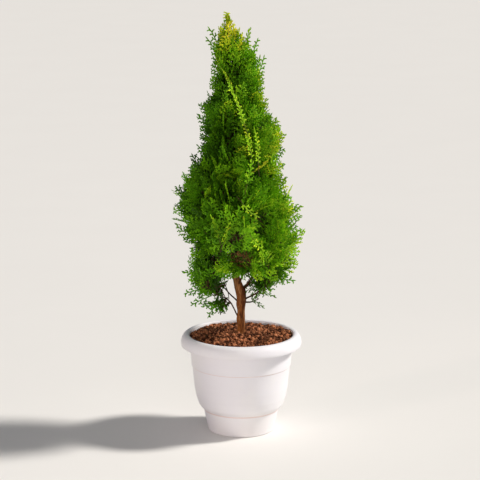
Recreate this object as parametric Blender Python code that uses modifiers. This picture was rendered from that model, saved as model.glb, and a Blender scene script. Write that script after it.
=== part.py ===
"""Potted arborvitae: a young, dense conifer in a white plastic nursery pot.

Metres, +Z up. The origin is the middle of the pot's flat underside. +X is the plant's right and
-Y its front. The trunk stays whole up to its tip, the boughs are the ones that show under the
crown, and every mass of foliage keeps to its own share of the crown.
"""

import math
import random
from collections import namedtuple

import bmesh
import bpy
import numpy as np
from mathutils import Matrix, Vector

MM = 0.001
GAP = 0.3 * MM  # clearance between pieces that touch
SEED = 11

# Pot, as turned radii and heights
POT_HEIGHT = 123.5 * MM
RIM_RADIUS = 75.0 * MM
RIM_TOP_RADIUS = 67.0 * MM
RIM_DROP = 11.5 * MM
RIM_SKIRT = 3.0 * MM
RIM_DRAFT = 0.4 * MM  # how far the skirt draws in below the rim's widest line
MOUTH_RADIUS = 65.0 * MM
MOUTH_DROP = 0.6 * MM  # the mouth's edge lies this far under the rim's top
WALL = 1.7 * MM
FLOOR = 2.2 * MM
FOOT_FILLET = 2.4 * MM
# outer wall from the foot up: (radius, height) of the foot, its ledge, the bowl, the belt line
# with its step, and the neck under the rim
POT_WALL = (
    (41.5 * MM, FOOT_FILLET),
    (46.6 * MM, 26.6 * MM),
    (47.4 * MM, 28.6 * MM),
    (50.6 * MM, 31.2 * MM),
    (53.0 * MM, 35.0 * MM),
    (56.0 * MM, 44.4 * MM),
    (58.3 * MM, 56.8 * MM),
    (60.8 * MM, 82.9 * MM),
    (61.8 * MM, 83.7 * MM),
    (63.5 * MM, 108.0 * MM),
    (65.8 * MM, 118.5 * MM),
)
INNER_WALL_EVERY = 2  # the inside follows every second point of the outer wall
TURN_STEPS = 32

# Soil
SOIL_EDGE = 120.2 * MM
SOIL_TOP = 122.3 * MM
SOIL_FLAT_RADIUS = 14.0 * MM
SOIL_LIP = 5.0 * MM  # no corner of the soil's side lies nearer its edge than this
SHOULDER_OUT, SHOULDER_RISE = 0.6, 0.55  # where the mound bends, as shares of its edge and rise
SOIL_RINGS = 6  # from the flat to the edge, before each is halved
CLODS = 24  # the main lumps on the soil's top, about 22 mm apart
CLOD_REACH = (20.0 * MM, 57.0 * MM)  # how near the middle and how far from it they lie
CLOD_RADIUS = 9.5 * MM
CLOD_HEIGHT = 2.6 * MM
CLOD_SIZES = (1.0, 0.7, 0.88, 0.78)  # dealt out by turns
GOLDEN_ANGLE = math.pi * (3 - math.sqrt(5))

PLANT_HEIGHT = 0.522

# Trunk centreline: (x, height, radius). It leans a little to the left as it rises
TRUNK_Y = 6.0 * MM
TRUNK_TIP_Y = 3.0 * MM
TRUNK_LINE = (
    (0.0, SOIL_TOP + GAP, 6.0 * MM),
    (0.0, 125.0 * MM, 5.0 * MM),
    (0.0, 132.0 * MM, 4.6 * MM),
    (0.0, 150.0 * MM, 4.6 * MM),
    (-0.4 * MM, 166.0 * MM, 5.1 * MM),
    (-2.6 * MM, 177.0 * MM, 4.9 * MM),
    (-5.6 * MM, 190.0 * MM, 4.4 * MM),
    (-9.6 * MM, 214.0 * MM, 3.6 * MM),
    (-11.4 * MM, 255.0 * MM, 3.1 * MM),
    (-11.8 * MM, 300.0 * MM, 2.6 * MM),
    (-13.7 * MM, 355.0 * MM, 2.1 * MM),
    (-15.0 * MM, 400.0 * MM, 1.7 * MM),
    (-15.8 * MM, 444.0 * MM, 1.2 * MM),
)
TRUNK_POINTS = 28
ROOT_LOBES = 5
ROOT_SPREAD = 2.6 * MM
ROOT_RISE = 7.0 * MM

# Boughs that show under the crown: points (x, y, height), radius at the trunk, radius at the tip
BOUGHS = {
    "right_lower": (((0, 6, 161), (7, 4, 167), (17, 0, 173), (28, -2, 182)), 1.2, 0.8),
    "right_upper": (((-1, 5, 171), (7, 1, 185), (19, -11, 203), (31, -22, 219)), 1.5, 1.0),
    "left_lower": (((0, 6, 136), (-5, 4, 145), (-14, 1, 163), (-27, -3, 173)), 1.0, 0.7),
    "left_upper": (((0, 6, 155), (-6, 9, 163), (-13, 12, 169), (-21, 16, 177)), 1.0, 0.7),
    "front": (((-4, 5, 181), (-1, -3, 191), (4, -11, 204), (10, -19, 216)), 1.3, 0.9),
    "back_right": (((-2, 6, 172), (5, 13, 178), (14, 19, 185), (25, 23, 194)), 1.2, 0.8),
}
BOUGH_POINTS = 9

# Crown outline: (height, reach to the left, reach to the right)
CROWN_Y = 3.0 * MM
CROWN_OUTLINE = (
    (0.150, 0.036, 0.022),
    (0.165, 0.052, 0.026),
    (0.180, 0.064, 0.034),
    (0.196, 0.064, 0.060),
    (0.221, 0.066, 0.074),
    (0.243, 0.074, 0.077),
    (0.280, 0.088, 0.078),
    (0.310, 0.083, 0.064),
    (0.332, 0.070, 0.056),
    (0.354, 0.056, 0.054),
    (0.376, 0.051, 0.054),
    (0.406, 0.055, 0.038),
    (0.424, 0.042, 0.028),
    (0.470, 0.033, 0.023),
    (0.487, 0.034, 0.010),
    (0.505, 0.025, -0.005),
    (0.522, 0.018, -0.017),
)

# Foliage masses: the skirt's lie at set azimuths, the rest climb the trunk in a golden spiral
SKIRT = ((350, 0.198), (38, 0.200), (150, 0.187), (200, 0.186))  # azimuth, height
SKIRT_DEPTH = 0.68  # a mass's centre, as a share of the crown's radius
SPIRAL_MASSES = 21
SPIRAL_HEIGHTS = (0.226, 0.436)
SPIRAL_START = 270
SPIRAL_DEPTH = 0.56
LEADER_HEIGHT = 0.472
LEADER_HEAD = 0.487
GIRTH_FLOOR = 4.0 * MM  # added to the crown's radius where heights are dealt out by its girth
MASS_HALF_HEIGHT = 0.035
LOW_MASSES = {  # little sprays under the crown: limb, height of the root, head, and tips
    "low_left": (
        "left_lower",
        0.163,
        (-0.025, -0.003, 0.158),
        ((-0.040, -0.008, 0.147), (-0.047, -0.001, 0.158)),
    ),
    "low_right": (
        "trunk",
        0.161,
        (0.022, 0.012, 0.164),
        ((0.042, 0.014, 0.166), (0.027, 0.012, 0.153)),
    ),
}
SKIRT_OPENING = (0.205, 0.62)  # below this height no tip lies nearer the front or back than this
CARRIED_BY = {
    "right_1": "right_lower",
    "back_right_1": "back_right",
    "back_left_1": "left_upper",
    "left_1": "left_lower",
    "front_1": "front",
    "front_right_1": "right_upper",
}

# Sprays of scale leaves
CROWN_TIPS = 210
TIP_DEPTH = (0.90, 1.0)
SPRAY_LENGTHS = (14.0 * MM, 44.0 * MM)
SPRAY_SUNK = 5.0 * MM
SPRAY_WIDTH = (0.30, 0.014)  # width = first * length + second
SPRAY_LIFTS = (0.8, 0.45, 0.15, -0.15)
SPRAY_THICKNESS = 1.2 * MM
SPRAY_ROLL = 26.0  # spread of the roll about a spray's rib, in degrees
SPRAY_TURNED = (0.2, 80)  # share of the sprays that turn their face outwards, and by how much
# one side of a spray's outline: (along, out) of each hollow and of the tooth after it
SPRAY_TEETH = (
    ((0.04, 0.09), (0.50, 0.50)),
    ((0.40, 0.17), (0.80, 0.40)),
)
SPRAY_LAST_HOLLOW = (0.70, 0.12)
SPACE_GAP = 0.8 * MM
LIMB_CLEARANCE = 1.2 * MM
STEM_RADIUS = 1.2 * MM
HEAD_OUT = 0.20  # a stem's head past its mass's centre, as a share of the way out
HEAD_RISE = 12.0 * MM
TWIG_RADIUS = 0.8 * MM
STEM_SIDES, TWIG_SIDES = 5, 3
CORE_SHARE = 0.78  # of the crown's radius
CORE_RISE = 4.0 * MM  # of a core's middle over its mass's
CORE_INSET = 2.4 * MM
CORE_POINTS = 30
CORE_SHRINKS = (1.0, 0.85, 0.7, 0.55)

Limb = namedtuple("Limb", "name points radii")
Mass = namedtuple("Mass", "name centre root head carried")
Spray = namedtuple("Spray", "start base tip side teeth")


# ---------------------------------------------------------------- the crown's rule of growth


def smooth_line(points, count):
    """count points on a Catmull-Rom curve through these rows, evenly spread by row."""
    points = np.asarray(points, float)
    padded = np.vstack((2 * points[0] - points[1], points, 2 * points[-1] - points[-2]))
    places = np.linspace(0, len(points) - 1 - 1e-9, count)
    rows = []
    for place in places:
        i, t = int(place), place - int(place)
        a, b, c, d = padded[i : i + 4]
        rows.append(
            0.5 * (2 * b + (c - a) * t + (2 * a - 5 * b + 4 * c - d) * t**2)
            + 0.5 * (3 * b - a - 3 * c + d) * t**3
        )
    return np.array(rows)


def trunk_limb():
    """The trunk as a limb: rows of x, y, z and their radii."""
    x, height, radius = smooth_line(TRUNK_LINE, TRUNK_POINTS).T
    y = np.interp(height, (height[0], height[-1]), (TRUNK_Y, TRUNK_TIP_Y))
    return Limb("trunk", np.column_stack((x, y, height)), radius)


def bough_limb(name):
    points, thick, thin = BOUGHS[name]
    line = smooth_line(points, BOUGH_POINTS) * MM
    return Limb(name, line, np.linspace(thick, thin, BOUGH_POINTS) * MM)


def crown_radius(height):
    heights, left, right = np.array(CROWN_OUTLINE).T
    return (np.interp(height, heights, left) + np.interp(height, heights, right)) / 2


def crown_point(height, azimuth, share):
    """A point of the crown: share 0 is its axis at this height and share 1 its outline."""
    heights, left, right = np.array(CROWN_OUTLINE).T
    middle = (np.interp(height, heights, right) - np.interp(height, heights, left)) / 2
    out = share * crown_radius(height)
    return np.array(
        (middle + out * math.cos(azimuth), CROWN_Y + out * math.sin(azimuth), height)
    )


def limb_at(limb, height):
    """A limb's middle and radius at a height."""
    heights = limb.points[:, 2]
    middle = [np.interp(height, heights, limb.points[:, axis]) for axis in range(3)]
    return np.array(middle), np.interp(height, heights, limb.radii)


def unit(vector):
    return vector / np.linalg.norm(vector)


def side_name(azimuth):
    """The nearest of eight sides, as front or back_left."""
    sides = ("right", "back_right", "back", "back_left")
    sides += ("left", "front_left", "front", "front_right")
    return sides[round(azimuth / math.radians(45)) % 8]


def spread_heights(low, high, count, shift=0.5):
    """Heights between low and high, as many for each part of the crown's girth."""
    heights = np.linspace(low, high, 400)
    share = np.cumsum(crown_radius(heights) + GIRTH_FLOOR)
    share = (share - share[0]) / (share[-1] - share[0])
    return np.interp((np.arange(count) + shift) / count, share, heights)


def crown_masses(trunk, boughs):
    """Every mass: its name, the middle of its space, the root of its stem, and the stem's head."""
    spots = [(height, math.radians(azimuth), SKIRT_DEPTH) for azimuth, height in SKIRT]
    for i, height in enumerate(spread_heights(*SPIRAL_HEIGHTS, SPIRAL_MASSES)):
        spots.append((height, math.radians(SPIRAL_START) + i * GOLDEN_ANGLE, SPIRAL_DEPTH))
    masses, sides = [], []
    for height, azimuth, depth in spots:
        sides.append(side_name(azimuth))
        name = f"{sides[-1]}_{sides.count(sides[-1])}"
        centre = crown_point(height, azimuth, depth)
        out = (centre - crown_point(height, 0, 0)) * (1, 1, 0)
        head = centre + HEAD_OUT * out + np.array((0, 0, HEAD_RISE))
        bough = boughs.get(CARRIED_BY.get(name))
        if bough:
            tip = bough.points[-1]
            heading = unit(tip - bough.points[-2])
            tilt = np.linalg.norm(np.cross(heading, unit(head - tip)))
            root = tip + heading * (GAP + STEM_RADIUS * tilt)
        else:
            middle, radius = limb_at(trunk, height)
            root = middle + unit(centre - middle) * (radius + STEM_RADIUS + GAP)
        masses.append(Mass(name, centre, root, head, bough is not None))
    for name, (carrier, height, head, tips) in LOW_MASSES.items():
        middle, radius = limb_at(boughs.get(carrier, trunk), height)
        root = middle + unit(head - middle) * (radius + STEM_RADIUS + GAP)
        centre = np.mean([head, *tips], axis=0)
        masses.append(Mass(name, centre, root, np.array(head), True))
    tip = trunk.points[-1]
    leader = np.array((tip[0], tip[1], LEADER_HEIGHT))
    head = np.array((tip[0], tip[1], LEADER_HEAD))
    masses.append(Mass("leader", leader, tip + (0, 0, GAP), head, True))
    return masses


def trunk_distance(mass, trunk):
    return np.linalg.norm(mass.centre - limb_at(trunk, mass.centre[2])[0])


class Space:
    """A mass's convex share of the crown.

    The wall between two masses crosses the trunk halfway between their heights, so every mass
    reaches the trunk at its own height. One more wall keeps the mass beside the trunk or, where a
    bough carries it, beyond the bough's tip.
    """

    def __init__(self, mass, masses, trunk):
        others = [other for other in masses if other is not mass]
        normals = np.array([other.centre - mass.centre for other in others])
        middles = np.array([other.centre + mass.centre for other in others]) / 2
        distances = np.array([trunk_distance(other, trunk) for other in others])
        limits = np.einsum("ij,ij->i", normals, middles)
        limits += (trunk_distance(mass, trunk) ** 2 - distances**2) / 2
        lengths = np.linalg.norm(normals, axis=1)
        normals /= lengths[:, None]
        limits = limits / lengths - SPACE_GAP / 2
        if mass.carried:
            back = unit(mass.root - mass.head)
            limit = back @ mass.root + STEM_RADIUS
        else:
            near = abs(trunk.points[:, 2] - mass.centre[2]) < MASS_HALF_HEIGHT
            back = unit((limb_at(trunk, mass.centre[2])[0] - mass.centre) * (1, 1, 0))
            limit = np.min(trunk.points[near] @ back - trunk.radii[near]) - GAP
        self.normals = np.vstack((normals, back))
        self.limits = np.append(limits, limit)

    def room(self, points):
        """How far inside the walls these points lie."""
        return float(np.min(self.limits - np.atleast_2d(points) @ self.normals.T))

    def holds(self, points):
        return self.room(points) > 0

    def reach(self, middle, direction, inset, share):
        """How far a core may go from its middle this way, inside the walls and the outline."""
        rate = self.normals @ direction
        room = self.limits - inset - self.normals @ middle
        walls = np.min(room[rate > 1e-6] / rate[rate > 1e-6], initial=PLANT_HEIGHT)
        for step in np.arange(0.0, walls, MM):
            x, y, height = middle + direction * step
            axis = crown_point(height, 0, 0)
            out = math.hypot(x - axis[0], y - axis[1])
            if out > share * crown_radius(height) or height > PLANT_HEIGHT - 2 * CORE_INSET:
                return step
        return max(walls, 0.0)


def limb_samples(limbs):
    """Points every few millimetres along all limbs, with the radius at each."""
    points = np.vstack([smooth_line(limb.points, 6 * len(limb.points)) for limb in limbs])
    radii = [np.interp(np.linspace(0, 1, 6 * len(limb.radii)),
                       np.linspace(0, 1, len(limb.radii)), limb.radii) for limb in limbs]
    return points, np.concatenate(radii)


def clear_of(samples, start, end):
    """Whether a thin piece from start to end stays clear of all limbs."""
    points, radii = samples
    along = start + (end - start) * np.linspace(0, 1, 9)[:, None]
    distance = np.linalg.norm(points[None] - along[:, None], axis=2)
    return bool((distance > radii + LIMB_CLEARANCE).all())


def crown_tips(rng):
    """Tips spread evenly over the crown's outline on a golden spiral, and the low stragglers."""
    bottom, top = CROWN_OUTLINE[0][0], CROWN_OUTLINE[-1][0]
    tips = [crown_point(top, 0, 1)]
    shift = [rng.random() for _ in range(CROWN_TIPS)]
    for i, height in enumerate(spread_heights(bottom, top, CROWN_TIPS, shift)):
        azimuth = i * GOLDEN_ANGLE + rng.uniform(-0.2, 0.2)
        low, edge = SKIRT_OPENING
        if height < low and abs(math.sin(azimuth)) > edge:
            continue
        tips.append(crown_point(height, azimuth, rng.uniform(*TIP_DEPTH)))
    return tips + [np.array(tip) for *_, low_tips in LOW_MASSES.values() for tip in low_tips]


def stem_point(mass, tip):
    """Where the twig to this tip leaves the stem, so that it leaves at about 45 degrees."""
    axis = mass.head - mass.root
    length = np.linalg.norm(axis)
    axis /= length
    along = (tip - mass.root) @ axis
    across = np.linalg.norm(tip - mass.root - along * axis)
    return mass.root + axis * min(max(along - across, 0.12 * length), 0.95 * length)


def spray_side(direction, outward, roll):
    """The direction of a spray's teeth: upright and radial, rolled about the spray's rib."""
    flat = np.cross(direction, (0, 0, 1))
    if np.linalg.norm(flat) < 0.25:
        flat = np.cross((0, 0, 1), outward)
    normal = unit(flat - (flat @ direction) * direction)
    normal = normal * math.cos(roll) + np.cross(direction, normal) * math.sin(roll)
    return np.cross(normal, direction)


def spray_base(start, tip, core):
    """Where a spray to this tip begins: just inside the core, with the steepest lift that fits."""
    shortest, longest = SPRAY_LENGTHS
    for lift in SPRAY_LIFTS:
        direction = unit(unit(tip - start) + (0, 0, lift))
        for length in np.arange(shortest, longest, 2 * MM):
            if core and core.holds(tip - direction * (length - SPRAY_SUNK)):
                return tip - direction * length
    span = np.linalg.norm(tip - start)
    return tip - (tip - start) * min(longest, 0.9 * span) / span


def spray_points(base, tip, teeth=None):
    """A spray's outline as points (along, across) in metres, and the pairs that span each tooth.

    A tooth whose place in teeth is false is left out.
    """
    length = np.linalg.norm(tip - base)
    width = SPRAY_WIDTH[0] * length + SPRAY_WIDTH[1]
    halves, spans = [], []
    for sign in (1, -1):
        half = []
        for hollow, tooth in SPRAY_TEETH:
            inner = (hollow[0] * length, sign * hollow[1] * width)
            outer = (tooth[0] * length, sign * tooth[1] * width)
            half.append(inner)
            if teeth is None or teeth[len(spans)]:
                half.append(outer)
            spans.append((inner, outer))
        half.append((SPRAY_LAST_HOLLOW[0] * length, sign * SPRAY_LAST_HOLLOW[1] * width))
        halves.append(half)
    return halves[0] + [(length, 0)] + halves[1][::-1], spans


def in_place(flat, base, tip, side):
    """Points (along, across) of a spray as places in the crown."""
    direction = unit(tip - base)
    flat = np.atleast_2d(flat)
    return base + flat[:, :1] * direction + flat[:, 1:] * side


def grow_sprays(mass, tips, space, core, samples, rng):
    """The sprays of one mass, each on a twig from the stem to a tip that lies in its space."""
    sprays = []
    for tip in tips:
        turned_share, turn = SPRAY_TURNED
        roll = math.radians(rng.gauss(0, SPRAY_ROLL) + turn * (rng.random() < turned_share))
        start = stem_point(mass, tip)
        base = spray_base(start, tip, core)
        if np.linalg.norm(tip - base) < SPRAY_LENGTHS[0]:
            continue
        if not (space.holds((start, base, tip)) and clear_of(samples, base, tip)):
            continue
        if not (core or clear_of(samples, start, base)):
            continue
        side = spray_side(unit(tip - base), tip - mass.root, roll)
        _, spans = spray_points(base, tip)
        places = [in_place(span, base, tip, side) for span in spans]
        teeth = [space.holds(outer) and clear_of(samples, inner, outer) for inner, outer in places]
        outline, _ = spray_points(base, tip, teeth)
        if any(teeth) and space.holds(in_place(outline, base, tip, side)):
            sprays.append(Spray(start, base, tip, side, teeth))
    return sprays


# ---------------------------------------------------------------- building


def clear_scene():
    for obj in list(bpy.data.objects):
        bpy.data.objects.remove(obj)


def new_material(name, colour, roughness):
    material = bpy.data.materials.new(name)
    material.use_nodes = True
    shader = material.node_tree.nodes["Principled BSDF"]
    shader.inputs["Base Color"].default_value = (*colour, 1)
    shader.inputs["Roughness"].default_value = roughness
    shader.inputs["Metallic"].default_value = 0
    return material


def add_object(name, mesh, collection, material=None):
    obj = bpy.data.objects.new(name, mesh)
    collection.objects.link(obj)
    if material:
        mesh.materials.clear()
        mesh.materials.append(material)
    return obj


def mesh_of(obj):
    """The mesh that an object evaluates to, its doubles merged, and the object removed."""
    graph = bpy.context.evaluated_depsgraph_get()
    mesh = bpy.data.meshes.new_from_object(obj.evaluated_get(graph))
    bm = bmesh.new()
    bm.from_mesh(mesh)
    bmesh.ops.remove_doubles(bm, verts=bm.verts, dist=1e-6)
    bmesh.ops.recalc_face_normals(bm, faces=bm.faces)
    bm.to_mesh(mesh)
    bm.free()
    bpy.data.objects.remove(obj)
    return mesh


def turned(name, profile, collection, material):
    """A profile of (radius, height) points turned about the Z axis."""
    bm = bmesh.new()
    verts = [bm.verts.new((radius, 0, height)) for radius, height in profile]
    for a, b in zip(verts, verts[1:]):
        bm.edges.new((a, b))
    mesh = bpy.data.meshes.new(name)
    bm.to_mesh(mesh)
    bm.free()
    obj = add_object(name, mesh, collection, material)
    screw = obj.modifiers.new("Turn", "SCREW")
    screw.axis = "Z"
    screw.steps = screw.render_steps = TURN_STEPS
    screw.use_merge_vertices = True
    screw.merge_threshold = 1e-5
    screw.use_smooth_shade = True
    return obj


def arc(middle, radii, start, end, steps):
    """Points on an ellipse's arc, with the angles in degrees from +X."""
    angles = (math.radians(start + (end - start) * i / steps) for i in range(steps + 1))
    return [(middle[0] + radii[0] * math.cos(a), middle[1] + radii[1] * math.sin(a)) for a in angles]


def inner_wall():
    """The pot's inside from its floor up to the mouth."""
    inside = [(radius - WALL, height) for radius, height in POT_WALL[::INNER_WALL_EVERY]]
    return [(POT_WALL[0][0] - WALL, FLOOR)] + inside[1:]


def build_pot(collection, material):
    shoulder = (RIM_TOP_RADIUS, POT_HEIGHT - RIM_DROP)
    out = RIM_RADIUS - RIM_TOP_RADIUS
    skirt_foot = POT_HEIGHT - RIM_DROP - RIM_SKIRT
    profile = [(0, FLOOR)] + inner_wall()
    profile.append((MOUTH_RADIUS, POT_HEIGHT - MOUTH_DROP))
    profile += arc(shoulder, (out, RIM_DROP), 90, 0, 4)
    profile.append((RIM_RADIUS - RIM_DRAFT, skirt_foot))
    profile.append((RIM_RADIUS - RIM_DRAFT - WALL, skirt_foot))
    profile += arc(shoulder, (out - WALL, RIM_DROP - WALL), 0, 90, 3)
    profile += list(reversed(POT_WALL))
    corner = (POT_WALL[0][0] - FOOT_FILLET, FOOT_FILLET)
    profile += arc(corner, (FOOT_FILLET, FOOT_FILLET), 0, -90, 2)[1:]
    profile.append((0, 0))
    turned("pot", profile, collection, material)


def clod_rise(x, y):
    """How far the main lumps raise the soil's top at a point."""
    near, far = CLOD_REACH
    rise = 0.0
    for i in range(CLODS):
        out = math.sqrt(near**2 + (far**2 - near**2) * (i + 0.5) / CLODS)
        azimuth, size = i * GOLDEN_ANGLE, CLOD_SIZES[i % len(CLOD_SIZES)]
        away = math.hypot(x - out * math.cos(azimuth), y - out * math.sin(azimuth))
        share = away / (CLOD_RADIUS * size)
        rise = max(rise, CLOD_HEIGHT * size * (1 - share**2))
    return rise


def soil_height(radius, edge):
    """The height of the soil's mound, without its lumps, this far from the middle."""
    shoulder = SOIL_EDGE + SHOULDER_RISE * (SOIL_TOP - SOIL_EDGE)
    places = (SOIL_FLAT_RADIUS, SHOULDER_OUT * edge, edge)
    return np.interp(radius, places, (SOIL_TOP, shoulder, SOIL_EDGE))


def build_soil(collection, material):
    """The soil, filling the pot, mounded towards the trunk and lumpy on top."""
    radii, heights = zip(*inner_wall())
    edge = np.interp(SOIL_EDGE, heights, radii) - GAP
    profile = [(0, SOIL_TOP)]
    for radius in np.linspace(SOIL_FLAT_RADIUS, edge, SOIL_RINGS + 1):
        profile.append((radius, soil_height(radius, edge)))
    below = [(radius - GAP, height) for radius, height in inner_wall()[1:]]
    profile += [point for point in reversed(below) if point[1] < SOIL_EDGE - SOIL_LIP]
    profile.append((POT_WALL[0][0] - WALL - GAP, FLOOR + GAP))
    profile.append((0, FLOOR + GAP))
    mesh = mesh_of(turned("soil", profile, collection, material))

    bm = bmesh.new()
    bm.from_mesh(mesh)

    def on_top(vert, nearest, farthest):
        radius = vert.co.xy.length
        return vert.co.z > SOIL_EDGE - SOIL_LIP and nearest < radius < farthest

    mound = [line for line in bm.edges
             if all(on_top(vert, SOIL_FLAT_RADIUS - GAP, edge + GAP) for vert in line.verts)
             and any(on_top(vert, SOIL_FLAT_RADIUS + GAP, edge - GAP) for vert in line.verts)]
    bmesh.ops.subdivide_edges(bm, edges=mound, cuts=1, use_grid_fill=True)
    for vert in bm.verts:
        if on_top(vert, SOIL_FLAT_RADIUS + GAP, edge - GAP):
            vert.co.z += clod_rise(vert.co.x, vert.co.y)
    bm.to_mesh(mesh)
    bm.free()
    add_object("soil", mesh, collection, material)


def limb_mesh(limb, resolution, extra=0.0):
    """A limb as a closed tapering tube; extra fattens it for use as a cutter."""
    curve = bpy.data.curves.new(limb.name, "CURVE")
    curve.dimensions = "3D"
    curve.bevel_depth = 1.0
    curve.bevel_resolution = resolution
    curve.use_fill_caps = True
    spline = curve.splines.new("POLY")
    spline.points.add(len(limb.points) - 1)
    for place, point, radius in zip(spline.points, limb.points, limb.radii):
        place.co = (*point, 1)
        place.radius = radius + extra
    obj = bpy.data.objects.new(limb.name, curve)
    bpy.context.scene.collection.objects.link(obj)
    mesh = mesh_of(obj)
    bpy.data.curves.remove(curve)
    return mesh


def build_trunk(trunk, collection, material):
    """The trunk, its root flare spread in lobes just above the flat cut."""
    mesh = limb_mesh(trunk, 2)
    ground = trunk.points[0][2]
    for vert in mesh.vertices:
        rise = (vert.co.z - ground) / ROOT_RISE
        out = Vector((vert.co.x - trunk.points[0][0], vert.co.y - TRUNK_Y, 0))
        if rise < 1 and out.length > 0.1 * MM:
            lobe = 0.6 + 0.4 * math.cos(ROOT_LOBES * math.atan2(out.y, out.x))
            vert.co += out.normalized() * ROOT_SPREAD * lobe * (1 - rise) ** 2
    mesh.shade_smooth()
    add_object("trunk", mesh, collection, material)


def build_bough(limb, cutter, collection, material):
    """One tapering bough, its foot cut to the trunk's side."""
    obj = add_object("bough_" + limb.name, limb_mesh(limb, 1), collection, material)
    cut = obj.modifiers.new("Trunk", "BOOLEAN")
    cut.operation = "DIFFERENCE"
    cut.object = cutter
    obj.data.shade_smooth()


def cone_between(start, end, thick, thin, sides):
    """A closed tapering rod of few sides from start to end."""
    start, end = Vector(start), Vector(end)
    bm = bmesh.new()
    bmesh.ops.create_cone(bm, cap_ends=True, segments=sides, radius1=thick, radius2=thin,
                          depth=(end - start).length)
    turn = (end - start).to_track_quat("Z", "Y").to_matrix().to_4x4()
    bm.transform(Matrix.Translation((start + end) / 2) @ turn)
    mesh = bpy.data.meshes.new("rod")
    bm.to_mesh(mesh)
    bm.free()
    return mesh


def spray_mesh(spray):
    """A spray as a flat toothed blade: a filled outline with half its thickness each way."""
    outline, _ = spray_points(spray.base, spray.tip, spray.teeth)
    curve = bpy.data.curves.new("spray", "CURVE")
    curve.dimensions = "2D"
    curve.fill_mode = "BOTH"
    curve.extrude = SPRAY_THICKNESS / 2
    spline = curve.splines.new("POLY")
    spline.use_cyclic_u = True
    spline.points.add(len(outline) - 1)
    for place, (along, across) in zip(spline.points, outline):
        place.co = (along, across, 0, 1)
    obj = bpy.data.objects.new("spray", curve)
    bpy.context.scene.collection.objects.link(obj)
    mesh = mesh_of(obj)
    bpy.data.curves.remove(curve)
    rib = Vector(unit(spray.tip - spray.base))
    side = Vector(spray.side)
    turn = Matrix((rib, side, rib.cross(side))).transposed().to_4x4()
    mesh.transform(Matrix.Translation(Vector(spray.base)) @ turn)
    return mesh


class Core:
    """A convex lump that fills the middle of a dense mass's space."""

    def __init__(self, mass, space, shrink):
        middle = mass.centre + (0, 0, CORE_RISE)
        self.bm = bmesh.new()
        for direction in fibonacci_ball(CORE_POINTS):
            reach = space.reach(middle, direction, CORE_INSET, CORE_SHARE)
            self.bm.verts.new(middle + direction * reach * shrink)
        hull = bmesh.ops.convex_hull(self.bm, input=self.bm.verts)
        inner = [item for item in hull["geom_interior"] if isinstance(item, bmesh.types.BMVert)]
        bmesh.ops.delete(self.bm, geom=inner, context="VERTS")
        bmesh.ops.recalc_face_normals(self.bm, faces=self.bm.faces)
        self.normals = np.array([face.normal for face in self.bm.faces])
        centres = np.array([face.calc_center_median() for face in self.bm.faces])
        self.limits = np.einsum("ij,ij->i", self.normals, centres)

    def holds(self, point):
        return bool((self.normals @ point < self.limits).all())

    def clear_of(self, samples):
        points, radii = samples
        outside = np.max(points @ self.normals.T - self.limits, axis=1)
        return bool((outside > radii + LIMB_CLEARANCE).all())

    def mesh(self):
        mesh = bpy.data.meshes.new("core")
        self.bm.to_mesh(mesh)
        return mesh


def core_of(mass, space, samples):
    """The largest core of this mass that stays clear of every limb; a low spray has none."""
    for shrink in () if mass.name in LOW_MASSES else CORE_SHRINKS:
        core = Core(mass, space, shrink)
        if core.clear_of(samples):
            return core
    return None


def fibonacci_ball(count):
    """Directions spread evenly over a ball."""
    i = np.arange(count) + 0.5
    polar = np.arccos(1 - 2 * i / count)
    around = math.pi * (1 + math.sqrt(5)) * i
    return np.column_stack((np.cos(around) * np.sin(polar), np.sin(around) * np.sin(polar),
                            np.cos(polar)))


def keep_body(mesh):
    """Drops what a union leaves beside the outer skin: sealed hollows and loose scraps."""
    bm = bmesh.new()
    bm.from_mesh(mesh)
    islands, seen = [], set()
    for first in bm.faces:
        if first in seen:
            continue
        island, queue = [], [first]
        seen.add(first)
        while queue:
            face = queue.pop()
            island.append(face)
            for edge in face.edges:
                for other in edge.link_faces:
                    if other not in seen:
                        seen.add(other)
                        queue.append(other)
        islands.append(island)
    islands.sort(key=len)
    scraps = [face for island in islands[:-1] for face in island]
    bmesh.ops.delete(bm, geom=scraps, context="FACES")
    bm.to_mesh(mesh)
    bm.free()


def build_mass(mass, sprays, core, collection, material):
    """One mass: its stem, with the core, twigs and sprays joined to it by a union."""
    name = "foliage_" + mass.name
    pieces = bpy.data.collections.new(name + "_pieces")
    bpy.context.scene.collection.children.link(pieces)
    if core:
        add_object("core", core.mesh(), pieces)
    for spray in sprays:
        into = spray.base + 0.25 * (spray.tip - spray.base)
        twig = cone_between(spray.start, into, TWIG_RADIUS, 0.6 * TWIG_RADIUS, TWIG_SIDES)
        add_object("twig", twig, pieces)
        add_object("spray", spray_mesh(spray), pieces)
    stem = cone_between(mass.root, mass.head, STEM_RADIUS, 0.7 * STEM_RADIUS, STEM_SIDES)
    obj = add_object(name, stem, collection)
    union = obj.modifiers.new("Join", "BOOLEAN")
    union.operation = "UNION"
    union.operand_type = "COLLECTION"
    union.collection = pieces
    union.solver = "EXACT"
    mesh = mesh_of(obj)
    keep_body(mesh)
    for piece in list(pieces.objects):
        bpy.data.objects.remove(piece)
    bpy.data.collections.remove(pieces)
    add_object(name, mesh, collection, material)


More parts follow.
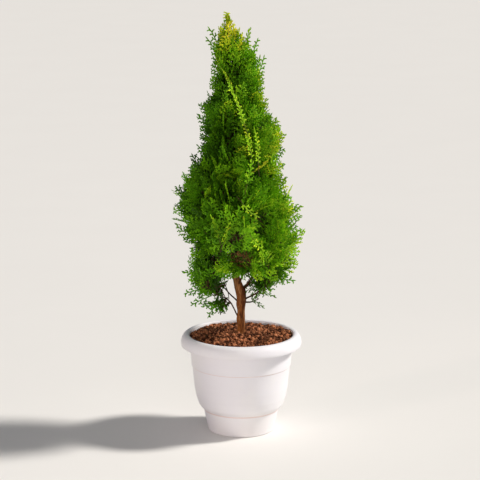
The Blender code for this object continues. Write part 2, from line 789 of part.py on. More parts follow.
def main():
    clear_scene()
    rng = random.Random(SEED)
    parts = bpy.data.collections.new("potted_arborvitae")
    cutters = bpy.data.collections.new("cutters")
    bpy.context.scene.collection.children.link(parts)
    bpy.context.scene.collection.children.link(cutters)

    plastic = new_material("white plastic", (0.80, 0.79, 0.82), 0.38)
    earth = new_material("potting soil", (0.11, 0.045, 0.025), 0.95)
    bark = new_material("bark", (0.20, 0.085, 0.045), 0.85)
    build_pot(parts, plastic)
    build_soil(parts, earth)

    trunk = trunk_limb()
    boughs = {name: bough_limb(name) for name in BOUGHS}
    build_trunk(trunk, parts, bark)
    cutter = add_object("trunk_clearance", limb_mesh(trunk, 2, GAP), cutters)
    cutter.hide_render = True
    cutter.display_type = "WIRE"
    for limb in boughs.values():
        build_bough(limb, cutter, parts, bark)

    masses = crown_masses(trunk, boughs)
    samples = limb_samples([trunk, *boughs.values()])
    tips = crown_tips(rng)
    for mass in masses:
        space = Space(mass, masses, trunk)
        own = [tip for tip in tips if space.holds(tip)]
        core = core_of(mass, space, samples)
        sprays = grow_sprays(mass, own, space, core, samples, rng)
        green = rng.uniform(0.8, 1.2)
        leaf = new_material("leaf " + mass.name, (0.07 * green, 0.27 * green, 0.012), 0.6)
        build_mass(mass, sprays, core, parts, leaf)


main()
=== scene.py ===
"""The potted arborvitae dressed for a picture: pot, soil, bark, twigs and scale leaves, made round
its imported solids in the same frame. Metres, +Z up; -Y is the plant's front."""

import math
import random
from collections import namedtuple

import bmesh
import bpy
import numpy as np
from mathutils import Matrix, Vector, noise


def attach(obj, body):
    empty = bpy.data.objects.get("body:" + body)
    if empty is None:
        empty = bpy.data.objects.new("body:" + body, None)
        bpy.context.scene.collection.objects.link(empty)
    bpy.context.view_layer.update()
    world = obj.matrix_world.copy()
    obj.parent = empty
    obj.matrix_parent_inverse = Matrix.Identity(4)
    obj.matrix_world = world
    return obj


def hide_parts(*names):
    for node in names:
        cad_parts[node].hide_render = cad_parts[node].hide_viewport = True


bl_info = {
    "name": "Potted arborvitae",
    "version": (1, 0, 0),
    "blender": (4, 5, 0),
    "location": "3D View > Sidebar > Arborvitae",
    "description": "Makes the pot, soil, bark, twigs and leaves of a potted arborvitae",
    "category": "Add Mesh",
}

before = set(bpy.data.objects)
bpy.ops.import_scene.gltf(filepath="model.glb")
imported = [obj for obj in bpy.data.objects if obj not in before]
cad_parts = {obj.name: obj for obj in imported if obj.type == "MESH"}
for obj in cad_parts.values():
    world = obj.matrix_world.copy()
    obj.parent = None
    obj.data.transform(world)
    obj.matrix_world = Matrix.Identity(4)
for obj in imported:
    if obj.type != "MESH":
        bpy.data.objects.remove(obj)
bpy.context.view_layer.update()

MM = 0.001
BODY = "root"
FOLIAGE = sorted(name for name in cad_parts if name.startswith("foliage_"))

# ------------------------------------------------------------ the solids' sizes and rule of growth

SEED = 11
POT_HEIGHT = 123.5 * MM
RIM_RADIUS = 75.0 * MM
RIM_TOP_RADIUS = 67.0 * MM
RIM_DROP = 11.5 * MM
RIM_SKIRT = 3.0 * MM
RIM_DRAFT = 0.4 * MM
MOUTH_RADIUS = 65.0 * MM
MOUTH_DROP = 0.6 * MM
WALL = 1.7 * MM
FLOOR = 2.2 * MM
FOOT_FILLET = 2.4 * MM
POT_WALL = np.array((  # radius and height: foot, ledge, bowl, belt line with its step, neck
    (41.5, 2.4), (46.6, 26.6), (47.4, 28.6), (50.6, 31.2), (53.0, 35.0), (56.0, 44.4),
    (58.3, 56.8), (60.8, 82.9), (61.8, 83.7), (63.5, 108.0), (65.8, 118.5),
)) * MM
GAP = 0.3 * MM
SOIL_EDGE = 120.2 * MM
SOIL_TOP = 122.3 * MM
SOIL_FLAT_RADIUS = 14.0 * MM
SHOULDER_OUT, SHOULDER_RISE = 0.6, 0.55
CLODS = 24
CLOD_REACH = (20.0 * MM, 57.0 * MM)
CLOD_RADIUS = 9.5 * MM
CLOD_HEIGHT = 2.6 * MM
CLOD_SIZES = (1.0, 0.7, 0.88, 0.78)
GOLDEN_ANGLE = math.pi * (3 - math.sqrt(5))

PLANT_HEIGHT = 0.522
TRUNK_Y = (6.0 * MM, 3.0 * MM)  # at the soil and at the tip
TRUNK_LINE = (  # (x, height, radius) in millimetres
    (0.0, 122.6, 6.0), (0.0, 125.0, 5.0), (0.0, 132.0, 4.6), (0.0, 150.0, 4.6),
    (-0.4, 166.0, 5.1), (-2.6, 177.0, 4.9), (-5.6, 190.0, 4.4), (-9.6, 214.0, 3.6),
    (-11.4, 255.0, 3.1), (-11.8, 300.0, 2.6), (-13.7, 355.0, 2.1), (-15.0, 400.0, 1.7),
    (-15.8, 444.0, 1.2),
)
TRUNK_POINTS = 28
ROOT_LOBES = 5
ROOT_SPREAD = 2.6 * MM
ROOT_RISE = 7.0 * MM
BOUGHS = {  # points (x, y, height) in millimetres, radius at the foot and at the tip
    "right_lower": (((0, 6, 161), (7, 4, 167), (17, 0, 173), (28, -2, 182)), 1.2, 0.8),
    "right_upper": (((-1, 5, 171), (7, 1, 185), (19, -11, 203), (31, -22, 219)), 1.5, 1.0),
    "left_lower": (((0, 6, 136), (-5, 4, 145), (-14, 1, 163), (-27, -3, 173)), 1.0, 0.7),
    "left_upper": (((0, 6, 155), (-6, 9, 163), (-13, 12, 169), (-21, 16, 177)), 1.0, 0.7),
    "front": (((-4, 5, 181), (-1, -3, 191), (4, -11, 204), (10, -19, 216)), 1.3, 0.9),
    "back_right": (((-2, 6, 172), (5, 13, 178), (14, 19, 185), (25, 23, 194)), 1.2, 0.8),
}
BOUGH_POINTS = 9
CROWN_Y = 3.0 * MM
CROWN_OUTLINE = np.array((  # (height, reach to the left, reach to the right)
    (0.150, 0.036, 0.022), (0.165, 0.052, 0.026), (0.180, 0.064, 0.034), (0.196, 0.064, 0.060),
    (0.221, 0.066, 0.074), (0.243, 0.074, 0.077), (0.280, 0.088, 0.078), (0.310, 0.083, 0.064),
    (0.332, 0.070, 0.056), (0.354, 0.056, 0.054), (0.376, 0.051, 0.054), (0.406, 0.055, 0.038),
    (0.424, 0.042, 0.028), (0.470, 0.033, 0.023), (0.487, 0.034, 0.010), (0.505, 0.025, -0.005),
    (0.522, 0.018, -0.017),
))
SKIRT = ((350, 0.198), (38, 0.200), (150, 0.187), (200, 0.186))  # azimuth, height
SKIRT_DEPTH = 0.68
SPIRAL_MASSES = 21
SPIRAL_HEIGHTS = (0.226, 0.436)
SPIRAL_START = 270
SPIRAL_DEPTH = 0.56
LEADER_HEIGHT = 0.472
LEADER_HEAD = 0.487
GIRTH_FLOOR = 4.0 * MM
LOW_MASSES = {  # limb, height of the root, head, and tips
    "low_left": ("left_lower", 0.163, (-0.025, -0.003, 0.158),
                 ((-0.040, -0.008, 0.147), (-0.047, -0.001, 0.158))),
    "low_right": ("trunk", 0.161, (0.022, 0.012, 0.164),
                  ((0.042, 0.014, 0.166), (0.027, 0.012, 0.153))),
}
SKIRT_OPENING = (0.205, 0.62)  # below this height the crown is open to the front and the back
CARRIED_BY = {
    "right_1": "right_lower", "back_right_1": "back_right", "back_left_1": "left_upper",
    "left_1": "left_lower", "front_1": "front", "front_right_1": "right_upper",
}
SIDES = ("right", "back_right", "back", "back_left", "left", "front_left", "front", "front_right")
CROWN_TIPS = 210
TIP_DEPTH = (0.90, 1.0)
HEAD_OUT = 0.20
HEAD_RISE = 12.0 * MM


def smooth_line(points, count):
    """count points on a Catmull-Rom curve through these rows, evenly spread by row."""
    points = np.asarray(points, float)
    padded = np.vstack((2 * points[0] - points[1], points, 2 * points[-1] - points[-2]))
    rows = []
    for place in np.linspace(0, len(points) - 1 - 1e-9, count):
        i, t = int(place), place - int(place)
        a, b, c, d = padded[i : i + 4]
        rows.append(0.5 * (2 * b + (c - a) * t + (2 * a - 5 * b + 4 * c - d) * t**2)
                    + 0.5 * (3 * b - a - 3 * c + d) * t**3)
    return np.array(rows)


def unit(vector):
    return vector / np.linalg.norm(vector)


class Limb:
    """The trunk or a bough: points along its middle and its radius at each."""

    def __init__(self, points, radii):
        self.points, self.radii = points, radii

    def at(self, height):
        """The limb's middle and its radius at a height."""
        heights = self.points[:, 2]
        middle = [np.interp(height, heights, self.points[:, axis]) for axis in range(3)]
        return np.array(middle), np.interp(height, heights, self.radii)


def trunk_limb():
    x, height, radius = smooth_line(TRUNK_LINE, TRUNK_POINTS).T * MM
    y = np.interp(height, (height[0], height[-1]), TRUNK_Y)
    return Limb(np.column_stack((x, y, height)), radius)


def bough_limbs():
    return {name: Limb(smooth_line(points, BOUGH_POINTS) * MM,
                       np.linspace(thick, thin, BOUGH_POINTS) * MM)
            for name, (points, thick, thin) in BOUGHS.items()}


def crown_axis(height):
    """The crown's middle in x, and its radius, at a height."""
    heights, left, right = CROWN_OUTLINE.T
    left, right = np.interp(height, heights, left), np.interp(height, heights, right)
    return (right - left) / 2, (right + left) / 2


def crown_point(height, azimuth, share):
    """A point of the crown: share 0 is its axis at this height and share 1 its outline."""
    middle, radius = crown_axis(height)
    return np.array((middle + share * radius * math.cos(azimuth),
                     CROWN_Y + share * radius * math.sin(azimuth), height))


def crown_share(points):
    """How far out these points lie, as a share of the crown's radius at their height."""
    middle, radius = crown_axis(points[:, 2])
    return np.hypot(points[:, 0] - middle, points[:, 1] - CROWN_Y) / np.maximum(radius, MM)


def spread_heights(low, high, count, shift=0.5):
    """Heights between low and high, as many for each part of the crown's girth."""
    heights = np.linspace(low, high, 400)
    share = np.cumsum(crown_axis(heights)[1] + GIRTH_FLOOR)
    share = (share - share[0]) / (share[-1] - share[0])
    return np.interp((np.arange(count) + shift) / count, share, heights)


def in_opening(height, azimuth):
    """Whether this lies under the open skirt, at the front or the back."""
    low, edge = SKIRT_OPENING
    return height < low and abs(math.sin(azimuth)) > edge


class Mass:
    """One mass of foliage: the middle of its space, and its stem's root and head."""

    def __init__(self, name, centre, root, head):
        self.name, self.centre, self.root, self.head = name, centre, root, np.array(head)

    def stem_point(self, tip):
        """Where the twig to this tip leaves the stem, so that it leaves at about 45 degrees."""
        axis = self.head - self.root
        length = np.linalg.norm(axis)
        axis = axis / length
        along = (tip - self.root) @ axis
        across = np.linalg.norm(tip - self.root - along * axis)
        return self.root + axis * min(max(along - across, 0.12 * length), 0.95 * length)


def crown_masses(trunk, boughs):
    """Every mass, in the solids' own order."""
    spots = [(height, math.radians(azimuth), SKIRT_DEPTH) for azimuth, height in SKIRT]
    for i, height in enumerate(spread_heights(*SPIRAL_HEIGHTS, SPIRAL_MASSES)):
        spots.append((height, math.radians(SPIRAL_START) + i * GOLDEN_ANGLE, SPIRAL_DEPTH))
    masses, sides = [], []
    for height, azimuth, depth in spots:
        sides.append(SIDES[round(azimuth / math.radians(45)) % 8])
        name = f"{sides[-1]}_{sides.count(sides[-1])}"
        centre = crown_point(height, azimuth, depth)
        out = (centre - crown_point(height, 0, 0)) * (1, 1, 0)
        head = centre + HEAD_OUT * out + np.array((0, 0, HEAD_RISE))
        if name in CARRIED_BY:
            root = boughs[CARRIED_BY[name]].points[-1]
        else:
            middle, radius = trunk.at(height)
            root = middle + unit(centre - middle) * radius * 0.5
        masses.append(Mass(name, centre, root, head))
    for name, (carrier, height, head, tips) in LOW_MASSES.items():
        middle, radius = boughs.get(carrier, trunk).at(height)
        root = middle + unit(head - middle) * radius * 0.5
        masses.append(Mass(name, np.mean([head, *tips], axis=0), root, head))
    tip = trunk.points[-1]
    leader = np.array((tip[0], tip[1], LEADER_HEIGHT))
    masses.append(Mass("leader", leader, tip, (tip[0], tip[1], LEADER_HEAD)))
    return masses


class Spaces:
    """Deals a point of the crown to the mass whose share of the crown it lies in."""

    def __init__(self, masses, trunk):
        self.masses = masses
        self.centres = np.array([mass.centre for mass in masses])
        trunk_middles = np.array([trunk.at(mass.centre[2])[0] for mass in masses])
        self.weights = np.linalg.norm(self.centres - trunk_middles, axis=1) ** 2

    def mass_of(self, point):
        power = np.sum((self.centres - point) ** 2, axis=1) - self.weights
        return self.masses[int(np.argmin(power))]


def crown_tips(rng):
    """The solids' own tips, each as (height, azimuth, share)."""
    bottom, top = CROWN_OUTLINE[0][0], CROWN_OUTLINE[-1][0]
    tips = [(top, 0.0, 1.0)]
    shift = [rng.random() for _ in range(CROWN_TIPS)]
    for i, height in enumerate(spread_heights(bottom, top, CROWN_TIPS, shift)):
        azimuth = i * GOLDEN_ANGLE + rng.uniform(-0.2, 0.2)
        if not in_opening(height, azimuth):
            tips.append((height, azimuth, rng.uniform(*TIP_DEPTH)))
    return tips


# ------------------------------------------------------------ shader maths and node trees


class Value:
    """An output socket that takes Python's arithmetic."""

    def __init__(self, graph, socket):
        self.graph, self.socket = graph, socket

    def maths(self, operation, first, second, clamp=False):
        return self.graph.add("ShaderNodeMath", {"operation": operation, "use_clamp": clamp},
                              {0: first, 1: second})

    def __add__(self, other):
        return self.maths("ADD", self, other)

    def __sub__(self, other):
        return self.maths("SUBTRACT", self, other)

    def __rsub__(self, other):
        return self.maths("SUBTRACT", other, self)

    def __mul__(self, other):
        return self.maths("MULTIPLY", self, other)

    def __pow__(self, other):
        return self.maths("POWER", self, other)

    __radd__, __rmul__ = __add__, __mul__

    def clamped(self):
        return self.maths("ADD", self, 0.0, clamp=True)


class Graph:
    """A node tree under construction, of a material or of Geometry Nodes."""

    def __init__(self, tree):
        self.tree = tree

    def add(self, kind, settings=None, values=None, output=0):
        """A new node: its settings, then the values or links of its sockets; gives one output."""
        node = self.tree.nodes.new(kind)
        for name, setting in (settings or {}).items():
            setattr(node, name, setting)
        for name, value in (values or {}).items():
            if isinstance(value, Value):
                self.tree.links.new(value.socket, node.inputs[name])
            else:
                node.inputs[name].default_value = value
        return Value(self, node.outputs[output])

    def mix(self, factor, first, second):
        """Two colours, each a link or three numbers, mixed by a factor."""
        pair = {6: first, 7: second, 0: factor}
        pair = {k: (*v, 1) if isinstance(v, tuple) else v for k, v in pair.items()}
        return self.add("ShaderNodeMix", {"data_type": "RGBA"}, pair, output=2)


class Finish(Graph):
    """A Principled material under construction, on Object coordinates."""

    def __init__(self, name, **constants):
        self.material = bpy.data.materials.new(name)
        self.material.use_nodes = True
        super().__init__(self.material.node_tree)
        self.shader = self.tree.nodes["Principled BSDF"]
        for socket, value in constants.items():
            self.shader.inputs[socket.replace("_", " ")].default_value = value
        self.place = self.add("ShaderNodeTexCoord", output="Object")

    def stretched(self, scale, location=(0, 0, 0)):
        return self.add("ShaderNodeMapping", None,
                        {"Vector": self.place, "Scale": scale, "Location": location})

    def noise(self, scale, detail=3.0, roughness=0.55, place=None):
        return self.add("ShaderNodeTexNoise", None,
                        {"Vector": place or self.place, "Scale": scale, "Detail": detail,
                         "Roughness": roughness})

    def cells(self, scale, place=None, feature="F1"):
        return self.add("ShaderNodeTexVoronoi", {"feature": feature},
                        {"Vector": place or self.place, "Scale": scale}, output="Distance")

    def height(self):
        return self.add("ShaderNodeSeparateXYZ", None, {"Vector": self.place}, output="Z")

    def band(self, value, low, high):
        """0 where value is under low, 1 where it is over high, and smooth between."""
        return self.add("ShaderNodeMapRange", {"interpolation_type": "SMOOTHSTEP"},
                        {"Value": value, "From Min": low, "From Max": high})

    def feed(self, colour, roughness=None, relief=None, distance=0.0002, strength=0.5):
        """Links what varies over the surface to the shader, and gives the material."""
        links = {"Base Color": colour, "Roughness": roughness}
        if relief:
            links["Normal"] = self.add("ShaderNodeBump", None, {
                "Height": relief, "Distance": distance, "Strength": strength})
        for socket, value in links.items():
            if value:
                self.tree.links.new(value.socket, self.shader.inputs[socket])
        return self.material


class Grower(Graph):
    """A Geometry Nodes tree under construction, with named inputs."""

    def __init__(self, name, inputs):
        super().__init__(bpy.data.node_groups.new(name, "GeometryNodeTree"))
        face = self.tree.interface
        face.new_socket("Geometry", in_out="OUTPUT", socket_type="NodeSocketGeometry")
        self.keys = {}
        for label, kind in {"Geometry": "Geometry", **inputs}.items():
            socket = face.new_socket(label, in_out="INPUT", socket_type="NodeSocket" + kind)
            self.keys[label] = socket.identifier
        self.source = self.tree.nodes.new("NodeGroupInput")

    def given(self, label):
        return Value(self, self.source.outputs[label])

    def named(self, name, kind="FLOAT_VECTOR"):
        """What each point carries under this name."""
        return self.add("GeometryNodeInputNamedAttribute", {"data_type": kind}, {"Name": name},
                        output="Attribute")

    def finish(self, geometry):
        """Ends the tree in realized geometry with its material set."""
        real = self.add("GeometryNodeRealizeInstances", None, {"Geometry": geometry})
        done = self.add("GeometryNodeSetMaterial", None,
                        {"Geometry": real, "Material": self.given("Material")})
        end = self.tree.nodes.new("NodeGroupOutput")
        self.tree.links.new(done.socket, end.inputs["Geometry"])
        return self

    def run(self, mesh, name, **values):
        """The plain mesh that the tree makes from this one, with its inputs set by identifier."""
        holder = placed(name + "_source", mesh)
        modifier = holder.modifiers.new("Grow", "NODES")
        modifier.node_group = self.tree
        for label, value in values.items():
            modifier[self.keys[label.replace("_", " ")]] = value
        return plain_mesh(holder, name)


# ------------------------------------------------------------ making pieces


def tint(name, description, default):
    """A setting that holds a colour."""
    return bpy.props.FloatVectorProperty(name=name, description=description, default=default,
                                         subtype="COLOR", min=0, max=1)


def amount(name, description, default, least, most, **kind):
    """A setting that holds a number, a whole one if its default is whole."""
    make = bpy.props.IntProperty if isinstance(default, int) else bpy.props.FloatProperty
    return make(name=name, description=description, default=default, min=least, max=most, **kind)


def scaled(shade, factor):
    """A colour made darker or lighter."""
    return tuple(min(1.0, factor * c) for c in shade)


def placed(name, data):
    """A new object of the scene that holds this mesh, light or camera."""
    holder = bpy.data.objects.new(name, data)
    bpy.context.scene.collection.objects.link(holder)
    return holder


def new_mesh(name, verts, edges=(), faces=()):
    mesh = bpy.data.meshes.new(name)
    mesh.from_pydata(verts, edges, faces)
    mesh.update()
    return mesh


def carry(mesh, name, kind, values):
    """Makes each point of a mesh carry its value under this name."""
    data = mesh.attributes.new(name, kind, "POINT").data
    data.foreach_set("vector" if kind == "FLOAT_VECTOR" else "value", values)


def plain_mesh(holder, name):
    """The mesh that an object evaluates to; the object and its own mesh are removed."""
    graph = bpy.context.evaluated_depsgraph_get()
    mesh = bpy.data.meshes.new_from_object(holder.evaluated_get(graph))
    mesh.name = name
    source = holder.data
    bpy.data.objects.remove(holder)
    bpy.data.meshes.remove(source)
    return mesh


def add_piece(name, mesh, nodes, material):
    """Puts a finished mesh in the scene as a piece that stands for these solids."""
    piece = placed(name, mesh)
    mesh.materials.clear()
    mesh.materials.append(material)
    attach(piece, BODY)
    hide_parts(*nodes)


def ring_mesh(name, rings, closed_ends=True):
    """A tube through rings of points, one list of equal length each, its ends closed."""
    rings = np.asarray(rings, float)
    count, sides = rings.shape[:2]
    verts = list(map(tuple, rings.reshape(-1, 3)))
    faces = []
    for i in range(count - 1):
        for j in range(sides):
            k = (j + 1) % sides
            faces.append((i * sides + j, i * sides + k, (i + 1) * sides + k, (i + 1) * sides + j))
    if closed_ends:
        for first, ring in ((0, rings[0]), ((count - 1) * sides, rings[-1])):
            middle = len(verts)
            verts.append(tuple(ring.mean(axis=0)))
            for j in range(sides):
                a, b = first + j, first + (j + 1) % sides
                faces.append((middle, b, a) if first == 0 else (middle, a, b))
    return new_mesh(name, verts, faces=faces)


def facing_out(mesh, sharp=None):
    """Merges a mesh's doubles, turns its faces outwards and shades it smooth."""
    bm = bmesh.new()
    bm.from_mesh(mesh)
    bmesh.ops.remove_doubles(bm, verts=bm.verts, dist=1e-6)
    bmesh.ops.recalc_face_normals(bm, faces=bm.faces)
    bm.to_mesh(mesh)
    bm.free()
    mesh.shade_smooth()
    if sharp:
        mesh.set_sharp_from_angle(angle=math.radians(sharp))
    return mesh


def arc(middle, radii, start, end, steps):
    """Points on an ellipse's arc, with the angles in degrees from +X."""
    angles = np.radians(np.linspace(start, end, steps + 1))
    return [(middle[0] + radii[0] * math.cos(a), middle[1] + radii[1] * math.sin(a))
            for a in angles]


def eased(profile, radius, steps=3):
    """A profile with each of its inner corners rounded within this radius."""
    points = [np.array(point, float) for point in profile]
    made = [points[0]]
    for before, corner, after in zip(points, points[1:], points[2:]):
        into, out = before - corner, after - corner
        reach = min(radius, 0.4 * np.linalg.norm(into), 0.4 * np.linalg.norm(out))
        start, end = corner + unit(into) * reach, corner + unit(out) * reach
        for t in np.linspace(0, 1, steps + 1):
            made.append(start * (1 - t) ** 2 + 2 * corner * t * (1 - t) + end * t**2)
    return made + [points[-1]]


def turned_mesh(name, profile, steps):
    """A profile of (radius, height) points turned about the Z axis by a Screw modifier."""
    verts = [(radius, 0, height) for radius, height in profile]
    edges = [(i, i + 1) for i in range(len(verts) - 1)]
    holder = placed(name + "_profile", new_mesh(name + "_profile", verts, edges))
    screw = holder.modifiers.new("Turn", "SCREW")
    screw.steps = screw.render_steps = steps
    screw.use_merge_vertices = True
    screw.merge_threshold = 1e-5
    return plain_mesh(holder, name)


# ------------------------------------------------------------ pot


FOOT_DUST = (2 * MM, 40 * MM)  # dust lies on the foot, less and less up to the second height
LEDGE_DUST = (24.5 * MM, 27.5 * MM, 28.5 * MM, 36 * MM)  # and on the ledge between these
PAINTED_LINES = (  # painted shade lines tinted by a warm painted reflection: height, width to each side, share: above the foot, at the belt, under the rim
    (27.4 * MM, 1.3 * MM, 0.50), (83.3 * MM, 0.9 * MM, 0.42), (107.6 * MM, 1.6 * MM, 0.45),
)


class PotSettings(bpy.types.PropertyGroup):
    colour: tint("Plastic colour", "Colour of the moulded plastic", (0.80, 0.785, 0.795))
    dust_colour: tint("Dust colour", "Colour of the soil dust on the pot", (0.42, 0.26, 0.17))
    # painted shade with a warm painted reflection: colour of the thin lines at the pot's steps
    painted_line_colour: tint("Groove colour", "Colour of the red dust in the pot's grooves",
                        (0.64, 0.36, 0.27))
    dust: amount("Dust", "How much dust lies on the pot", 0.35, 0, 1, subtype="FACTOR")
    segments: amount("Segments", "Steps round the pot", 144, 24, 256)


def pot_finish(settings):
    """White moulded plastic: faint mottling, fine scuffs, soil dust low down, and thin lines of painted
    shade with a warm painted reflection at the pot's steps.
    """
    white = Finish("white_plastic", IOR=1.49, Specular_IOR_Level=0.42)
    clean = tuple(settings.colour)
    cloudy = white.noise(14.0, 4.0)
    grain = white.noise(420.0, 2.0)
    scuffs = white.noise(60.0, 6.0, 0.75, white.stretched((1, 1, 6)))
    height = white.height()
    foot = 1 - white.band(height, *FOOT_DUST)
    ledge = white.band(height, *LEDGE_DUST[:2]) * (1 - white.band(height, *LEDGE_DUST[2:]))
    specks = white.band(white.noise(260.0, 5.0, 0.7), 0.60, 0.72)
    dirt = ((foot * 0.35 + ledge * 0.25) * cloudy + specks * 0.10) * settings.dust
    cooler = tuple(c * k for c, k in zip(clean, (0.95, 0.95, 0.985)))
    body = white.mix(white.band(cloudy, 0.35, 0.68), cooler, clean)
    shown = white.mix(dirt.clamped(), body, tuple(settings.dust_colour))
    # painted shade lines with a warm painted reflection, above the foot, at the belt and under the rim
    lines = 0.0
    for line, width, much in PAINTED_LINES:
        above = white.band(height, line, line + width)
        lines = lines + much * white.band(height, line - width, line) * (1 - above)
    shown = white.mix(lines.clamped(), shown, tuple(settings.painted_line_colour))
    rough = 0.34 + 0.10 * scuffs + 0.06 * cloudy + 0.25 * dirt
    relief = grain * 0.35 + scuffs * 0.35 + cloudy * 0.5
    return white.feed(shown, rough, relief, 0.00018, 0.35)


def pot_profile():
    """The pot's outline as (radius, height), from the middle of its floor inside, over the rim."""
    wall = [tuple(point) for point in POT_WALL]
    inside = [(wall[0][0] - WALL, FLOOR)] + [(radius - WALL, height) for radius, height in wall[2::2]]
    shoulder = (RIM_TOP_RADIUS, POT_HEIGHT - RIM_DROP)
    out = RIM_RADIUS - RIM_TOP_RADIUS
    skirt = POT_HEIGHT - RIM_DROP - RIM_SKIRT
    rim = [(MOUTH_RADIUS, POT_HEIGHT - MOUTH_DROP)]
    rim += arc(shoulder, (out, RIM_DROP), 90, 0, 20)
    rim += [(RIM_RADIUS - RIM_DRAFT, skirt), (RIM_RADIUS - RIM_DRAFT - WALL, skirt)]
    rim += arc(shoulder, (out - WALL, RIM_DROP - WALL), 0, 90, 12)
    corner = (wall[0][0] - FOOT_FILLET, FOOT_FILLET)
    foot = arc(corner, (FOOT_FILLET, FOOT_FILLET), 0, -90, 8)[1:]
    return [(0, FLOOR)] + eased(inside + rim + wall[::-1] + foot, 0.5 * MM) + [(0, 0)]


class ARBORVITAE_OT_pot(bpy.types.Operator):
    """Make the turned plastic pot"""

    bl_idname = "arborvitae.pot"
    bl_label = "Make pot"

    def execute(self, context):
        settings = context.scene.arborvitae_pot
        mesh = facing_out(turned_mesh("pot_shell", pot_profile(), settings.segments), sharp=48)
        add_piece("pot_shell", mesh, ["pot"], pot_finish(settings))
        return {"FINISHED"}


# ------------------------------------------------------------ soil


CRUMB_BED = 1.7 * MM  # how far under the solid's top the ground between the crumbs lies
SOIL_SIDE_DROP = 5 * MM  # the soil's side starts this far under its edge
SOIL_GRID = (70, 160)  # rings and sides of the soil's top
CRUMB_GRID = (24, 72)  # and of the ground on which the crumbs are scattered
LUMPS = ((75, 3.1, 1.5), (240, 7.7, 0.8))  # how fine, level in the noise, height in millimetres
KINDS = (  # name, subdivisions, number for each square metre, smallest and largest
    ("soil_clods", 2, 42000.0, 0.40, 1.0),
    ("soil_crumbs_red", 1, 70000.0, 0.20, 0.62),
    ("soil_crumbs_dark", 1, 90000.0, 0.18, 0.55),
    ("soil_bits_pale", 1, 6000.0, 0.13, 0.36),
)


class SoilSettings(bpy.types.PropertyGroup):
    dark: tint("Dark soil", "Colour of the moist soil", (0.058, 0.015, 0.004))
    light: tint("Light soil", "Colour of the drier crumbs", (0.50, 0.190, 0.085))
    pale: tint("Pale bits", "Colour of the few dry bits", (0.62, 0.38, 0.23))
    crumb: amount("Largest crumb", "Size of the largest crumb", 7.0 * MM, 1 * MM, 12 * MM,
                  unit="LENGTH")
    seed: amount("Seed", "Seed of the crumbs' places", 4, 0, 1000)


def earth_finish(name, dark, light, pale=0.0):
    """Moist crumbly soil: each lump its own tone, with darker patches and grit."""
    earth = Finish(name, Roughness=0.95, Specular_IOR_Level=0.15)
    patch = earth.noise(60.0, 3.0, 0.6)
    lump = earth.noise(230.0, 2.0, 0.6)
    grit = earth.noise(900.0, 3.0, 0.7)
    shown = earth.mix(earth.band(lump * 0.65 + patch * 0.35, 0.42, 0.60), dark, light)
    shown = earth.mix(earth.band(grit, 0.60, 0.76) * (0.40 + pale), shown, scaled(light, 1.8))
    return earth.feed(shown, 0.86 + 0.12 * patch, lump * 0.4 + grit * 0.6, 0.0007, 0.9)


def clod_rise(x, y):
    """How far the main lumps raise the soil's top at a point."""
    near, far = CLOD_REACH
    rise = 0.0
    for i in range(CLODS):
        out = math.sqrt(near**2 + (far**2 - near**2) * (i + 0.5) / CLODS)
        azimuth, size = i * GOLDEN_ANGLE, CLOD_SIZES[i % len(CLOD_SIZES)]
        away = math.hypot(x - out * math.cos(azimuth), y - out * math.sin(azimuth))
        rise = max(rise, CLOD_HEIGHT * size * (1 - (away / (CLOD_RADIUS * size)) ** 2))
    return rise


def soil_rings(rings, sides, sunk):
    """The soil's top as rings from the middle out, lumpy, then its side down to the pot's floor."""
    wall = [(radius - WALL - GAP, height) for radius, height in POT_WALL[2::2]]
    edge = float(np.interp(SOIL_EDGE, *zip(*[(height, radius) for radius, height in wall])))
    angles = np.linspace(0, 2 * math.pi, sides, endpoint=False)
    shoulder = SOIL_EDGE + SHOULDER_RISE * (SOIL_TOP - SOIL_EDGE)
    made = []
    for i in range(1, rings + 1):
        radius = edge * i / rings
        rise = np.interp(radius, (SOIL_FLAT_RADIUS, SHOULDER_OUT * edge, edge),
                         (SOIL_TOP, shoulder, SOIL_EDGE)) - sunk
        ring = []
        for angle in angles:
            x, y = radius * math.cos(angle), radius * math.sin(angle)
            lump = sum(high * noise.noise(Vector((x * fine, y * fine, level)))
                       for fine, level, high in LUMPS)
            ring.append((x, y, rise + clod_rise(x, y) + lump * MM * (1 if i < rings else 0.3)))
        made.append(ring)
    low = [point for point in wall[::-1] if point[1] < SOIL_EDGE - SOIL_SIDE_DROP]
    for radius, height in low + [(POT_WALL[0][0] - WALL - GAP, FLOOR + GAP)]:
        made.append([(radius * math.cos(a), radius * math.sin(a), height) for a in angles])
    return made


def clod_mesh(seed, subdivisions):
    """A small lump of soil about one unit across, knobbly."""
    bm = bmesh.new()
    bmesh.ops.create_icosphere(bm, subdivisions=subdivisions, radius=0.5)
    for vert in bm.verts:
        place = vert.co + Vector((seed * 2.3, 0, 0))
        vert.co *= 1 + 0.6 * noise.noise(place * 2.3) + 0.3 * noise.noise(place * 6.1)
        vert.co.z *= 0.78
    mesh = bpy.data.meshes.new(f"clod_{seed}")
    bm.to_mesh(mesh)
    bm.free()
    return mesh


def clod_tree():
    """Scatters lumps over a surface, each turned and sized at random."""
    tree = Grower("scatter_clods", {
        "Clod": "Object", "Density": "Float", "Smallest": "Float", "Largest": "Float",
        "Seed": "Int", "Material": "Material"})
    seed = tree.given("Seed")
    spots = tree.add("GeometryNodeDistributePointsOnFaces", None,
                     {"Mesh": tree.given("Geometry"), "Density": tree.given("Density"),
                      "Seed": seed})
    turn = tree.add("FunctionNodeRandomValue", {"data_type": "FLOAT_VECTOR"},
                    {0: (0, 0, 0), 1: (6.283, 6.283, 6.283), "Seed": seed})
    chance = tree.add("FunctionNodeRandomValue", {"data_type": "FLOAT"},
                      {2: 0.0, 3: 1.0, "Seed": seed}, output=1)
    small, large = tree.given("Smallest"), tree.given("Largest")
    clod = tree.add("GeometryNodeObjectInfo", None, {"Object": tree.given("Clod")},
                    output="Geometry")
    return tree.finish(tree.add("GeometryNodeInstanceOnPoints", None, {
        "Points": spots, "Instance": clod, "Rotation": turn,
        "Scale": small + (large - small) * chance**3}))


